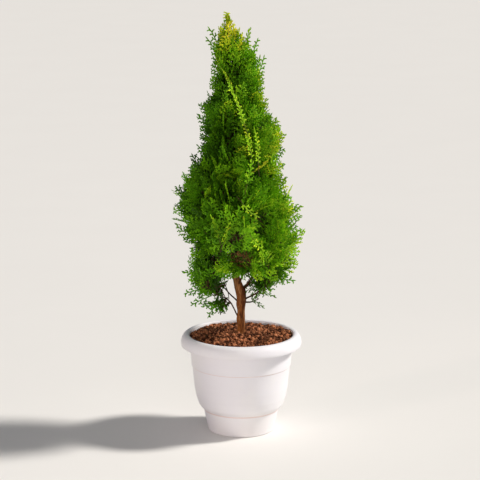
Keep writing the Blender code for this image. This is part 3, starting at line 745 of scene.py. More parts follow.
class ARBORVITAE_OT_soil(bpy.types.Operator):
    """Make the soil and the crumbs that lie on it"""

    bl_idname = "arborvitae.soil"
    bl_label = "Make soil"

    def execute(self, context):
        settings = context.scene.arborvitae_soil
        dark, light, pale = tuple(settings.dark), tuple(settings.light), tuple(settings.pale)
        black, red = scaled(dark, 0.45), scaled(light, 0.45)
        # painted shade: the ground between the crumbs is darker than the crumbs, for the shade in the
        # gaps
        body = facing_out(ring_mesh("soil_body", soil_rings(*SOIL_GRID, CRUMB_BED)))
        add_piece("soil_body", body, ["soil"], earth_finish("moist_soil", black, dark))
        finishes = (earth_finish("dark_clods", dark, light), earth_finish("red_crumbs", dark, light),
                    earth_finish("dark_crumbs", black, red), earth_finish("pale_bits", light, pale, 0.3))
        tree = clod_tree()
        for i, ((name, steps, density, small, large), finish) in enumerate(zip(KINDS, finishes)):
            clod = bpy.data.objects.new("clod", clod_mesh(i, steps))
            rings = np.array(soil_rings(*CRUMB_GRID, 0.5 * CRUMB_BED))[:CRUMB_GRID[0]]
            ground = ring_mesh("soil_top", rings[::-1], closed_ends=False)
            mesh = tree.run(ground, name, Clod=clod, Density=density,
                            Smallest=small * settings.crumb, Largest=large * settings.crumb,
                            Seed=settings.seed + i, Material=finish)
            mesh.shade_smooth()
            bpy.data.objects.remove(clod)
            add_piece(name, mesh, ["soil"], finish)
        bpy.data.node_groups.remove(tree.tree)
        return {"FINISHED"}


# ------------------------------------------------------------ trunk and boughs


CROWN_SHADE_BAND = (0.134, 0.182)  # painted shade: the bark darkens between these heights, up under the crown
RIDGES_ROUND, RIDGES_ALONG = 2.6, 45  # how close together the bark's ridges lie
TRUNK_GRID, BOUGH_GRID = (44, 0.9 * MM), (18, 0.6 * MM)  # sides, and the step between rings
COLLAR_RISE = 4 * MM  # the trunk swells this far above each bough's start
COLLAR_HEIGHT, COLLAR_GIRTH = 0.006, 1.3  # how fast the swelling fades up and round the trunk


class BarkSettings(bpy.types.PropertyGroup):
    dark: tint("Dark bark", "Colour in the bark's folds", (0.085, 0.022, 0.005))
    brown: tint("Brown bark", "Colour of the bark's strips", (0.315, 0.108, 0.024))
    worn: tint("Worn bark", "Colour where the bark has worn", (0.66, 0.33, 0.125))
    relief: amount("Relief", "Depth of the ridges as a share of the limb's radius", 0.07, 0, 0.3,
                   subtype="FACTOR")
    # painted shade: the boughs' bark is the trunk's made darker by this share, for the shade inside the
    # crown
    bough_painted_shade: amount("Bough shade", "How bright the boughs' bark is beside the trunk's", 0.3, 0, 1,
                        subtype="FACTOR")


def bark_finish(name, settings, shade=1.0):
    """Thin reddish bark that splits into long fibrous strips, paler where it has worn, and
    darkened by painted shade up under the crown.
    """
    bark = Finish(name, Specular_IOR_Level=0.16)
    # a shade below 1 is painted shade: a darker copy of the bark for the boughs inside the crown
    dark, brown, worn = (scaled(c, shade) for c in (settings.dark, settings.brown, settings.worn))
    fibres = bark.noise(260.0, 5.0, 0.65, bark.stretched((1, 1, 0.13)))
    strips = bark.noise(90.0, 4.0, 0.6, bark.stretched((1, 1, 0.22), (3, 1, 2)))
    patches = bark.noise(45.0, 3.0)
    cracks = bark.cells(330.0, bark.stretched((1, 1, 0.16)), "DISTANCE_TO_EDGE")
    shown = bark.mix(bark.band(strips, 0.36, 0.62), dark, brown)
    shown = bark.mix(bark.band(fibres + patches * 0.25, 0.60, 0.80), shown, worn)
    shown = bark.mix((1 - bark.band(cracks, 0.0, 0.12)) * 0.55, shown, scaled(dark, 0.45))
    # painted shade under the crown, deepening up the trunk and over the boughs
    shown = bark.mix(bark.band(bark.height(), *CROWN_SHADE_BAND) * 0.45, shown, dark)
    relief = fibres * 0.7 + strips * 0.6 + bark.band(cracks, 0.0, 0.2) * 0.5
    return bark.feed(shown, 0.72 + 0.2 * fibres, relief, 0.0005, 0.9)


def limb_rings(limb, sides, step, relief, seed, foot=None, collars=()):
    """Rings of points round a limb, with the bark's long ridges pushed in and out of it."""
    length = np.cumsum(np.linalg.norm(np.diff(limb.points, axis=0), axis=1))[-1]
    count = max(12, int(length / step))
    places = np.linspace(0, length, count)
    rows = smooth_line(np.column_stack((limb.points, limb.radii)), 12 * len(limb.points))
    spread = np.linspace(0, 1, len(rows)) * length
    line = np.column_stack([np.interp(places, spread, rows[:, i]) for i in range(4)])
    rings = []
    for i, (x, y, z, radius) in enumerate(line):
        heading = unit(line[min(i + 1, count - 1), :3] - line[max(i - 1, 0), :3])
        across = unit(np.cross((0, 1, 0), heading))
        upon = np.cross(heading, across)
        ring = []
        for angle in np.linspace(0, 2 * math.pi, sides, endpoint=False):
            out = across * math.cos(angle) + upon * math.sin(angle)
            spot = Vector((math.cos(angle) * RIDGES_ROUND + seed, math.sin(angle) * RIDGES_ROUND,
                           places[i] * RIDGES_ALONG))
            ridge = abs(noise.noise(spot)) * -1.4 + 0.45
            ridge += 0.6 * noise.noise(Vector((spot.x * 3, spot.y * 3, spot.z * 1.6)))
            swell = 0.5 * noise.noise(Vector((0.3, seed, places[i] * 60)))
            reach = radius * (1 + relief * (ridge + swell))
            if foot:
                rise = max(0.0, 1 - places[i] / foot)
                lobe = 0.6 + 0.4 * math.cos(ROOT_LOBES * math.atan2(out[1], out[0]))
                reach += ROOT_SPREAD * lobe * rise**2
            for height, side, size in collars:
                near = math.hypot((z - height) / COLLAR_HEIGHT, COLLAR_GIRTH * (out @ side - 1))
                reach += size * math.exp(-near * near)
            ring.append(np.array((x, y, z)) + out * reach)
        rings.append(ring)
    return rings


class ARBORVITAE_OT_bark(bpy.types.Operator):
    """Make the trunk and the boughs with their bark"""

    bl_idname = "arborvitae.bark"
    bl_label = "Make trunk and boughs"

    def execute(self, context):
        settings = context.scene.arborvitae_bark
        finish = bark_finish("trunk_bark", settings)
        # painted shade: the boughs get a darker copy of the trunk's bark
        bough_finish = bark_finish("bough_bark", settings, settings.bough_painted_shade)
        boughs = bough_limbs()
        collars = []
        for bough in boughs.values():
            start, heading = bough.points[0], unit((bough.points[3] - bough.points[0]) * (1, 1, 0))
            collars.append((start[2] + COLLAR_RISE, heading, 1.2 * bough.radii[0]))
        rings = limb_rings(trunk_limb(), *TRUNK_GRID, settings.relief, 1.0, ROOT_RISE, collars)
        add_piece("trunk_bark", facing_out(ring_mesh("trunk_bark", rings)), ["trunk"], finish)
        for i, (name, bough) in enumerate(boughs.items()):
            rings = limb_rings(bough, *BOUGH_GRID, settings.relief, 5.0 + 3 * i)
            mesh = facing_out(ring_mesh("bark_" + name, rings))
            add_piece("bark_" + name, mesh, ["bough_" + name], bough_finish)
        return {"FINISHED"}


# ------------------------------------------------------------ fans of scale leaves


SHADES = {  # base colour of each shade of leaf, from the dry inside to the golden tips
    "dry": (0.150, 0.078, 0.022),
    "inner": (0.018, 0.055, 0.002),
    "deep": (0.045, 0.140, 0.003),
    "mid": (0.090, 0.265, 0.004),
    "bright": (0.160, 0.39, 0.006),
    "fresh": (0.275, 0.50, 0.010),
    "lime": (0.57, 0.68, 0.020),
    "gold": (0.86, 0.72, 0.030),
}

# Sprays that stand out of the crown: (x, y, height) of base and tip in millimetres, half width in
# millimetres, tone, and how far the spray is turned edge-on, in degrees.
STREAMERS = (
    ((20.5, -47, 341), (16.5, -44, 383), 3.0, 3.8, 50),
    ((13, -49, 348), (3, -44, 395), 3.4, 3.9, 45),
    ((5, -46, 388), (-10, -31, 428), 3.4, 3.8, 45),
    ((-8, -33, 422), (-21, -23, 453), 3.0, 3.7, 50),
    ((-19, -24, 448), (-31, -9, 469), 2.4, 3.6, 60),
    ((6, -57, 318), (12, -54, 350), 6.0, 3.0, 35),
    ((0, -68, 303), (19, -72, 286), 4.0, 3.7, 40),
    ((-23, -68, 248), (-15, -76, 277), 4.0, 3.9, 55),
    ((-26, -70, 256), (-35, -71, 284), 3.6, 3.7, 55),
    ((12, -72, 261), (24, -68, 246), 3.4, 3.9, 45),
    ((2, -74, 262), (17, -77, 279), 6.0, 2.9, 15),
    ((-8, -30, 203), (-20, -50, 222), 6.5, 2.7, 10),
    ((-6, -32, 200), (-5, -55, 214), 5.5, 2.6, 20),
)
TOP_SPRAYS = (
    ((-17, 3, 486), (-17.5, 3, 521), 3.6, 4.6, 10),
    ((-26, 0, 468), (-38, 0, 501), 5.0, 2.6, 15),
    ((-28, 2, 456), (-40, 3, 488), 5.5, 2.3, 10),
    ((1, 2, 474), (9.5, 0, 501), 3.4, 3.4, 20),
    ((9, 0, 458), (19.5, 0, 488), 5.0, 2.8, 15),
    ((16, 0, 438), (27, 0, 466), 6.0, 2.6, 15),
    ((-16, -4, 476), (-9, -6, 505), 5.0, 5.2, 15),
    ((-12, -7, 464), (1, -9, 494), 5.0, 5.0, 15),
    ((-20, -5, 474), (-22, -5, 503), 4.5, 4.0, 20),
    ((-17, -6, 480), (-15, -6, 509), 4.0, 5.3, 35),
)
LOW_SPRAYS = (
    ((-42, 0, 190), (-70, -4, 202), 7.0, 1.6, 10),
    ((-42, 2, 178), (-69, -2, 174), 7.5, 1.4, 5),
    ((-36, -4, 172), (-60, -6, 161), 7.0, 1.3, 10),
    ((38, -4, 196), (64, -6, 192), 7.5, 1.8, 10),
    ((24, 8, 184), (39, 6, 177), 5.0, 1.5, 15),
)
LEFT_SPRAYS = (  # they close a chink between two masses on the left
    ((-50, -2, 262), (-57, -4, 296), 9.0, 1.3, 90),
    ((-46, 6, 260), (-53, 9, 294), 9.0, 1.1, 90),
    ((-56, 2, 272), (-64, 2, 302), 8.0, 1.5, 80),
)
ROSETTE = (-6, -60, 256)  # the middle of the full spray at the front, (x, y, height)
ROSETTE_FANS = (  # direction in degrees from the plant's right, length and half width
    (200, 27, 7), (178, 33, 9), (158, 36, 9), (139, 32, 9), (121, 36, 10), (103, 30, 9),
    (86, 35, 10), (69, 30, 9), (51, 33, 9), (33, 27, 8), (14, 24, 7),
)
ROSETTE_HEART = (  # shorter fans in front of the others' feet
    (176, 15, 6), (146, 19, 7), (112, 18, 7), (80, 20, 7), (46, 18, 7), (16, 15, 6),
    (228, 13, 5), (-30, 13, 5),
)
HEART_STEP = (1, -4, -1)  # how far in front of the rosette's middle the shorter fans start
ROSETTE_TONE = 2.3
LOW_TIP_TONE = 1.3
LOW_TIP_SIZE = (24 * MM, 6.5 * MM)  # length and half width of the fans of the two low masses

FanKind = namedtuple("FanKind", "pitch rib_step lateral_width twig_radius")
FINE = FanKind(3.0 * MM, 4.2 * MM, 1.22, 0.62 * MM)  # laterals with leaflets, for the outside
PLAIN = FanKind(3.4 * MM, 8.0 * MM, 1.7, 0.5 * MM)  # broad bare laterals, for the inside
RIB_WIDTH, LEAFLET_WIDTH = 1.05, 1.3  # beside the leaf width that is set
LEAF_THICKNESS = 0.52  # beside the leaf's own width
RIB_OVERLAP = 1.45  # length of a rib's leaf beside the step between two
LATERAL_FOOT = 3.2 * MM  # what every lateral has of length, beside its share of the fan's width
LEAFLET_PITCH = 1.75 * MM
SPRAY_TWIG = (0.45, 0.2)  # radius at the foot and at the end, in millimetres
TWIG_END = 0.2 * MM
TWIG_POINTS, SPRAY_TWIG_POINTS, STEM_POINTS = 9, 8, 8
STEM_RADIUS = 1.2 * MM

# Heights and what holds at each: how much a fan turns up, what share of the fans at a tip grow, how
# light a fan is, and how much lighter it is on the plant's right, the lit side, as painted light.
LIFT = ((0.150, 0.185, 0.230, 0.300, 0.400, 0.520), (-0.45, 0.05, 0.40, 0.75, 1.1, 2.0))
CROWDING = ((0.150, 0.200, 0.485, 0.510), (0.25, 1.0, 1.0, 0.3))
HIGH_TONE = ((0.15, 0.20, 0.26, 0.46, 0.480, 0.500), (-0.1, 0.1, 0.3, 0.5, 1.2, 2.4))
PAINTED_SUN_SIDE = ((0.2, 0.35, 0.45, 0.47), (0.5, 0.75, 0.75, 0.0))
LEADER_FOOT = 0.495  # above this a fan is as light inside the crown as outside
TURNED_SHARE = 0.2  # of the fans are turned across, and show their flat side

LOW_RIGHT = 0.178  # below this no tips grow on the plant's right
LOW_FANS = 0.215  # below this a fan is no longer than its way out from the stem
WINDOW_MIDDLE = (1.0 * MM, 0.2285)  # in x and height
WINDOW_SIZE = (13 * MM, 13 * MM)
WINDOW_DEPTH = 0.70  # no leaf hides the window that lies further out than this share
DRY = -1.0  # tone of dry leaves
WITHERED = 0.6  # share of the leaves in the window that are dry
STRAY = 4.0 * MM  # how far a leaf may reach past the crown's outline
TWIG_STRAY = 1.0 * MM  # and a twig
LIMB_GAP = 1.0 * MM  # how far every leaf stays off the trunk and the boughs
THIN_FAN = 0.6  # a fan that keeps less than this share of its leaves is left out


class Fan:
    """One flat fan of scale leaves: a curved rib in a plane, from its base to the crown's edge."""

    def __init__(self, base, tip, side, bend, nod):
        self.base, self.length = base, np.linalg.norm(tip - base)
        self.heading = unit(tip - base)
        self.side = unit(side - (side @ self.heading) * self.heading)
        self.face = np.cross(self.heading, self.side)
        self.bend, self.nod = bend, nod

    def at(self, along):
        """The rib's point and heading this far along, as a bow that starts and ends on the line."""
        t = along / self.length
        off = self.side * self.bend + self.face * self.nod
        place = self.base + self.heading * along + off * self.length * 4 * t * (1 - t)
        return place, unit(self.heading + off * 4 * (1 - 2 * t))


class Leaves:
    """Every scale leaf grown so far: where it starts, which way it points and faces, its size,
    its tone, whether it is a long one and the number of its fan."""

    def __init__(self):
        self.rows, self.fan = [], 0

    def add(self, start, heading, face, length, width, tone, long):
        size = (length, width, LEAF_THICKNESS * width)
        self.rows.append((start, heading, face, size, tone, long, self.fan))

    def arrays(self):
        names = ("start", "heading", "face", "size", "tone", "long", "fan")
        return {name: np.array(values) for name, values in zip(names, zip(*self.rows))}


def grow_fan(fan, leaves, rng, half_width, tone, leaf_width, kind=FINE):
    """Leaves of one fan: laterals to each side of the rib by turns, each with leaflets by turns.
    t goes from 0 to 1 along the rib, and u along a lateral."""
    count = max(5, int(0.90 * fan.length / min(kind.pitch, 0.75 * half_width)))
    first = rng.choice((-1, 1))
    for i in range(int(fan.length / kind.rib_step)):
        place, heading = fan.at(i * kind.rib_step + 0.12 * fan.length)
        leaves.add(place, heading, fan.face, RIB_OVERLAP * kind.rib_step, leaf_width * RIB_WIDTH,
                   tone + 0.25, True)
    for i in range(count):
        t = (i + 0.5) / count
        place, heading = fan.at(fan.length * (0.08 + 0.90 * t))
        reach = half_width * min(1, 0.55 + 1.9 * t) * (1 - t) ** 0.72 * rng.uniform(0.80, 1.15)
        reach += LATERAL_FOOT
        lean = math.radians(52 - 18 * t + rng.gauss(0, 4))
        aside = fan.side * (first if i % 2 else -first)
        ray = unit(heading * math.cos(lean) + aside * math.sin(lean) + fan.face * rng.gauss(0, 0.06))
        own = max(0.0, tone + rng.gauss(0, 0.25) + 0.5 * t)
        leaves.add(place, ray, fan.face, reach, leaf_width * kind.lateral_width, own, kind is FINE)
        if kind is PLAIN:
            continue
        flank = unit(np.cross(fan.face, ray))
        leaflets = int(reach / LEAFLET_PITCH)
        for k in range(1, leaflets):
            u = (k + 0.3) / (leaflets + 0.3)
            turn = math.radians(38 + rng.gauss(0, 5))
            way = flank if (k + i) % 2 else -flank
            leaf = unit(ray * math.cos(turn) + way * math.sin(turn) + fan.face * rng.gauss(0, 0.10))
            size = (2.5 + 1.9 * (1 - u)) * MM * rng.uniform(0.8, 1.2)
            leaves.add(place + ray * reach * u, leaf, fan.face, size, leaf_width * LEAFLET_WIDTH,
                       max(0.0, own + 0.7 * u + rng.gauss(0, 0.15)), False)


def spray_side(direction, outward, roll):
    """The direction of a fan's laterals: upright and radial, rolled about the fan's rib."""
    flat = np.cross(direction, (0, 0, 1))
    if np.linalg.norm(flat) < 0.25:
        flat = np.cross((0, 0, 1), outward)
    normal = unit(flat - (flat @ direction) * direction)
    normal = normal * math.cos(roll) + np.cross(direction, normal) * math.sin(roll)
    return np.cross(normal, direction)


def in_window(points):
    """Which points lie where the bare brown inside shows at the front, low down."""
    x, y, height = np.asarray(points).T
    ragged = 0.25 * np.sin(700 * x + 300 * y) * np.sin(520 * height)
    middle, middle_height = WINDOW_MIDDLE
    out = np.hypot((x - middle) / WINDOW_SIZE[0], (height - middle_height) / WINDOW_SIZE[1])
    return (out < 1 + ragged) & (y < CROWN_Y)


def limb_samples(limbs):
    """Points along the middle of these limbs, and the limb's radius at each."""
    points = np.vstack([smooth_line(limb.points, 6 * len(limb.points)) for limb in limbs])
    radii = [np.interp(np.linspace(0, 1, 6 * len(limb.radii)),
                       np.linspace(0, 1, len(limb.radii)), limb.radii) for limb in limbs]
    return points, np.concatenate(radii)


class Crown:
    """The whole crown's fans and twigs, grown from the trunk and boughs by the solids' rule."""

    def __init__(self, settings):
        self.settings = settings
        self.rng = random.Random(SEED)
        self.trunk, self.boughs = trunk_limb(), bough_limbs()
        self.masses = crown_masses(self.trunk, self.boughs)
        self.spaces = Spaces(self.masses, self.trunk)
        self.leaves, self.twigs, self.free = Leaves(), [], []
        self.grow()

    def grow(self):
        """Grows the stems, the fans at the crown's tips, and then the sprays that stand out."""
        tips = crown_tips(self.rng)
        radii = np.linspace(STEM_RADIUS, 0.5 * STEM_RADIUS, STEM_POINTS)
        for mass in self.masses:
            middle = (mass.root + mass.head) / 2 - (0, 0, 2 * MM)
            self.twigs.append((smooth_line((mass.root, middle, mass.head), STEM_POINTS), radii, None))
        for height, azimuth, share in tips:
            self.grow_cluster(height, azimuth, share)
        for name, (_, _, _, low_tips) in LOW_MASSES.items():
            mass = next(mass for mass in self.masses if mass.name == name)
            for tip in low_tips:
                self.grow_one(mass, np.array(tip), *LOW_TIP_SIZE, LOW_TIP_TONE, FINE, lift=-0.15)
                self.free.append(self.leaves.fan)
        for spray in STREAMERS + TOP_SPRAYS + LOW_SPRAYS:
            self.grow_spray(*spray)
        for fans, step in ((ROSETTE_FANS, (0, 0, 0)), (ROSETTE_HEART, HEART_STEP)):
            for turn, length, half_width in fans:
                rise = self.rng.uniform(-0.45, -0.05)
                turn = math.radians(turn)
                way = unit(np.array((math.cos(turn), rise, math.sin(turn))))
                base = np.array(ROSETTE) + step + 5 * way
                self.grow_spray(base, base + length * way, half_width,
                                ROSETTE_TONE + self.rng.gauss(0, 0.4), self.rng.uniform(-30, 30))
        for spray in LEFT_SPRAYS:
            self.grow_spray(*spray)

    def grow_spray(self, base, tip, half_width, tone, turn):
        """A fan that stands out of the crown, from base to tip."""
        base, tip = np.array(base, float) * MM, np.array(tip, float) * MM
        self.leaves.fan += 1
        self.free.append(self.leaves.fan)
        turn = math.radians(turn)
        side = np.cross(unit(tip - base), (math.sin(turn), -math.cos(turn), 0.0))
        fan = Fan(base, tip, side, self.rng.gauss(0.04, 0.02), self.rng.gauss(0, 0.02))
        grow_fan(fan, self.leaves, self.rng, half_width * MM, tone, self.settings.leaf_width)
        foot = base + (base - tip) * 0.3 + (0, 5 * MM, 0)
        line = [foot, base] + [fan.at(fan.length * t)[0] for t in (0.3, 0.6)]
        radii = np.linspace(*SPRAY_TWIG, SPRAY_TWIG_POINTS) * MM
        self.twigs.append((smooth_line(line, SPRAY_TWIG_POINTS), radii, self.leaves.fan))

    def grow_cluster(self, height, azimuth, share):
        """A fan to one of the crown's tips, and smaller ones that branch from its twig."""
        rng = self.rng
        tip = crown_point(height, azimuth, share)
        if bool(in_window(tip)) or (height < LOW_RIGHT and math.cos(azimuth) > 0.2):
            return
        radius = crown_axis(height)[1]
        mass = self.spaces.mass_of(tip)
        length = min(rng.uniform(32, 46) * MM, 14 * MM + 0.55 * radius)
        spread = min(0.34 * length + 2 * MM, 2 * MM + 0.45 * (PLANT_HEIGHT - height))
        twig = self.grow_one(mass, tip, length, spread, self.tone(height, share, azimuth), FINE)
        crowd = np.interp(height, *CROWDING)
        for k in range(round(self.settings.companions * crowd)):
            inner = k % self.settings.companions < self.settings.inner_fans
            drop = rng.uniform(-14, 10) * MM
            turn = rng.uniform(-1, 1) * 11 * MM / max(radius, 8 * MM)
            depth = share * (rng.uniform(0.35, 0.66) if inner else rng.uniform(0.66, 0.90))
            level = min(max(height + drop, CROWN_OUTLINE[0][0]), PLANT_HEIGHT - 6 * MM)
            if in_opening(level, azimuth + turn):
                continue
            spot = crown_point(level, azimuth + turn, depth)
            if bool(in_window(spot)) and depth > WINDOW_DEPTH:
                continue
            kind = PLAIN if inner and level > LOW_FANS else FINE
            size = length * rng.uniform(0.62, 0.95)
            self.grow_one(self.spaces.mass_of(spot), spot, size, min(0.34 * size + 2 * MM, spread),
                          self.tone(level, depth, azimuth), kind, twig=twig)

    def tone(self, height, share, azimuth):
        """How light a fan is: darker inside, the inner leaves' own darker tone with painted shade, and
        on the left as painted shade; lighter towards the top and outside.
        """
        high = np.interp(height, *HIGH_TONE)
        # partly painted shade: fans further in the crown are darker, with the inner leaves' own darker
        # tone
        depth = 2.7 * max(0.0, (share - 0.40) / 0.60) if height < LEADER_FOOT else 2.2
        # painted light: fans on the right, where the key light comes from, are lighter
        side = math.cos(azimuth) * np.interp(height, *PAINTED_SUN_SIDE)
        return max(0.0, depth - 0.35 + high + side + self.rng.gauss(0, 0.6))

    def grow_one(self, mass, tip, length, half_width, tone, kind, lift=None, twig=None):
        """A fan to this tip and its twig, from the mass's stem or from another fan's twig. A fan
        hangs out low in the crown and stands up high in it. Gives where others may branch off."""
        rng = self.rng
        start = mass.stem_point(tip)
        lift = float(np.interp(tip[2], *LIFT)) if lift is None else lift
        direction = unit(unit(tip - start) + (0, 0, lift + rng.gauss(0, 0.12)))
        if tip[2] < LOW_FANS:
            length = min(length, max(1.1 * np.linalg.norm(tip - start), 14 * MM))
        turned = rng.random() < TURNED_SHARE
        roll = math.radians(rng.gauss(0, 26) + (80 if turned else 0))
        base = tip - direction * length
        side = spray_side(direction, tip - mass.root, roll)
        self.leaves.fan += 1
        fan = Fan(base, tip, side, rng.gauss(0.03, 0.03), rng.gauss(0, 0.035))
        grow_fan(fan, self.leaves, rng, half_width, tone + (0.5 if turned else 0),
                 self.settings.leaf_width, kind)
        if twig is not None:
            start = twig
        knee = (start + base) / 2 - direction * 0.1 * length
        points = [start, knee, base] + [fan.at(length * t)[0] for t in (0.25, 0.5, 0.75)]
        line = smooth_line(points, TWIG_POINTS)
        radii = np.linspace(kind.twig_radius, TWIG_END, TWIG_POINTS)
        self.twigs.append((line, radii, self.leaves.fan))
        return line[2]

    def kept(self):
        """The leaves that stay inside the crown's reach and clear of every limb."""
        made = self.leaves.arrays()
        ends = made["start"] + made["heading"] * made["size"][:, :1]
        radius = crown_axis(ends[:, 2])[1]
        free = np.isin(made["fan"], self.free)
        bare = in_window(ends) & ~free
        withered = bare & (np.array([self.rng.random() for _ in free]) < WITHERED)
        made["tone"][withered] = DRY
        keep = (free | ((crown_share(ends) - 1) * radius < STRAY)) & (ends[:, 2] < PLANT_HEIGHT)
        keep &= ~bare | (crown_share(ends) < WINDOW_DEPTH)
        points, radii = limb_samples([self.trunk, *self.boughs.values()])
        for part in np.array_split(np.arange(len(ends)), 40):  # in parts, to save memory
            middle = made["start"][part] + 0.5 * (ends[part] - made["start"][part])
            for spot in (middle, ends[part]):
                gap = np.linalg.norm(spot[:, None] - points[None], axis=2) - radii
                keep[part] &= gap.min(axis=1) > LIMB_GAP
        grown, left = (np.bincount(fans, minlength=self.leaves.fan + 1)
                       for fans in (made["fan"], made["fan"][keep]))
        thin = left < THIN_FAN * grown
        for line, _, fan in self.twigs:
            beyond = (crown_share(line) - 1) * crown_axis(line[:, 2])[1]
            if fan and fan not in self.free and beyond.max() > TWIG_STRAY:
                thin[fan] = True
        keep &= ~thin[made["fan"]]
        self.twigs = [twig for twig in self.twigs if twig[2] is None or not thin[twig[2]]]
        return {name: values[keep] for name, values in made.items()}


# ------------------------------------------------------------ leaves and twigs as pieces


MOST_TRIANGLES = 190_000  # a piece of leaves has no more than this, so a shade may need several
LONG_TRIANGLES, SHORT_TRIANGLES = 16, 6  # of one leaf of each kind
DIAMOND = ((0.5, 0), (0, 0.5), (-0.5, 0), (0, -0.5))  # sections of the long and the short leaf
WEDGE = ((0.5, -0.25), (0, 0.6), (-0.5, -0.25))


class LeafSettings(bpy.types.PropertyGroup):
    leaf_width: amount("Leaf width", "Width of one branchlet of scale leaves",
                       1.42 * MM, 0.5 * MM, 4 * MM, unit="LENGTH")
    companions: amount("Fans at each tip", "Fans beside each of the crown's own tips", 13, 0, 20)
    inner_fans: amount("Inner fans", "How many of them are plain fans inside the crown", 4, 0, 8)
    twig_colour: tint("Twig colour", "Colour of the thin twigs", (0.075, 0.045, 0.016))
    twig_sides: amount("Twig sides", "Sides of a twig", 4, 3, 12)


def leaf_blade(name, stations, section):
    """A closed scale leaf one unit long: points at both ends and sections of few sides between."""
    sides = len(section)
    verts = [(0, 0, 0)]
    for along, wide in stations:
        verts += [(along, wide * y, wide * z) for y, z in section]
    verts.append((1, 0, 0))
    faces, last = [], len(verts) - 1
    for i in range(sides):
        j = (i + 1) % sides
        faces.append((0, 1 + j, 1 + i))
        for ring in range(len(stations) - 1):
            a = 1 + sides * ring
            faces.append((a + i, a + j, a + sides + j, a + sides + i))
        faces.append((last - sides + i, last - sides + j, last))
    return bpy.data.objects.new(name, new_mesh(name, verts, faces=faces))


def leaf_tree():
    """Sets a leaf on every point, along its heading and flat to its face."""
    tree = Grower("set_leaves", {"Long Leaf": "Object", "Short Leaf": "Object",
                                 "Material": "Material"})
    points = tree.given("Geometry")
    along = tree.add("FunctionNodeAlignRotationToVector", {"axis": "X"},
                     {"Vector": tree.named("heading")})
    turn = tree.add("FunctionNodeAlignRotationToVector", {"axis": "Z", "pivot_axis": "X"},
                    {"Rotation": along, "Vector": tree.named("face")})
    is_long = tree.named("long", "BOOLEAN")
    is_short = tree.add("FunctionNodeBooleanMath", {"operation": "NOT"}, {0: is_long})
    join = tree.tree.nodes.new("GeometryNodeJoinGeometry")
    for label, which in (("Long Leaf", is_long), ("Short Leaf", is_short)):
        blade = tree.add("GeometryNodeObjectInfo", None, {"Object": tree.given(label)},
                         output="Geometry")
        placed = tree.add("GeometryNodeInstanceOnPoints", None,
                          {"Points": points, "Selection": which, "Instance": blade,
                           "Rotation": turn, "Scale": tree.named("size")})
        tree.tree.links.new(placed.socket, join.inputs[0])
    return tree.finish(Value(tree, join.outputs[0]))


def twig_tree():
    """Gives lines of points a round section as thick as each point says."""
    tree = Grower("thicken_twigs", {"Sides": "Int", "Material": "Material"})
    lines = tree.add("GeometryNodeMeshToCurve", None, {"Mesh": tree.given("Geometry")})
    ring = tree.add("GeometryNodeCurvePrimitiveCircle", None,
                    {"Resolution": tree.given("Sides"), "Radius": 1.0})
    return tree.finish(tree.add("GeometryNodeCurveToMesh", None, {
        "Curve": lines, "Profile Curve": ring, "Scale": tree.named("thick", "FLOAT"),
        "Fill Caps": True}))


def point_mesh(name, made, chosen):
    """Chosen leaves as a mesh of points that carry their heading, face, size and kind."""
    mesh = new_mesh(name, made["start"][chosen].tolist())
    for label in ("heading", "face", "size"):
        carry(mesh, label, "FLOAT_VECTOR", made[label][chosen].astype(np.float32).ravel())
    carry(mesh, "long", "BOOLEAN", made["long"][chosen])
    return mesh


def leaf_finish(name, shade):
    """Waxy scale leaves: soft patches of tone and fine overlapping scales."""
    leaf = Finish(name, Roughness=0.5, Specular_IOR_Level=0.09)
    patch = leaf.noise(38.0, 3.0)
    mottle = leaf.noise(420.0, 2.0)
    shown = leaf.mix(leaf.band(patch * 0.6 + mottle * 0.4, 0.36, 0.64),
                     scaled(shade, 0.66), scaled(shade, 1.32))
    return leaf.feed(shown, 0.44 + 0.16 * mottle, leaf.cells(950.0), 0.0003, 0.5)


def twig_finish(shade):
    """Thin brown twigs, mottled."""
    twig = Finish("thin_twigs", Specular_IOR_Level=0.25)
    shown = twig.mix(twig.band(twig.noise(300.0, 3.0), 0.4, 0.65),
                     scaled(shade, 0.55), scaled(shade, 1.5))
    return twig.feed(shown, 0.7 + 0.2 * twig.noise(500.0), twig.noise(900.0), 0.0003, 0.6)


def set_twigs(twigs, settings):
    """Makes one piece of all the stems and twigs."""
    verts, edges, thick = [], [], []
    for line, radii, _ in twigs:
        first = len(verts)
        verts += line.tolist()
        thick += list(radii)
        edges += [(first + i, first + i + 1) for i in range(len(line) - 1)]
    mesh = new_mesh("twig_lines", verts, edges)
    carry(mesh, "thick", "FLOAT", np.array(thick, np.float32))
    finish = twig_finish(settings.twig_colour)
    tree = twig_tree()
    made = tree.run(mesh, "twigs", Sides=settings.twig_sides, Material=finish)
    made.shade_smooth()
    add_piece("twigs", made, FOLIAGE, finish)
    bpy.data.node_groups.remove(tree.tree)


def set_leaves(made):
    """Makes the pieces of each shade: a leaf's tone, rounded, says which shade it has."""
    blades = {"Long_Leaf": leaf_blade("long_leaf", ((0.22, 0.85), (0.68, 1.0)), DIAMOND),
              "Short_Leaf": leaf_blade("short_leaf", ((0.55, 1.0),), WEDGE)}
    tree = leaf_tree()
    shades = np.clip(np.round(made["tone"]) + 1, 0, len(SHADES) - 1).astype(int)
    for place, (label, shade) in enumerate(SHADES.items()):
        chosen = np.flatnonzero(shades == place)
        if not len(chosen):
            continue
        finish = leaf_finish("leaf_" + label, shade)
        triangles = np.where(made["long"][chosen], LONG_TRIANGLES, SHORT_TRIANGLES).sum()
        parts = int(triangles // MOST_TRIANGLES) + 1
        for i, part in enumerate(np.array_split(chosen, parts)):
            name = f"leaves_{label}_{i + 1}"
            mesh = tree.run(point_mesh(name, made, part), name, Material=finish, **blades)
            add_piece(name, mesh, FOLIAGE, finish)
    for blade in blades.values():
        bpy.data.objects.remove(blade)
    bpy.data.node_groups.remove(tree.tree)


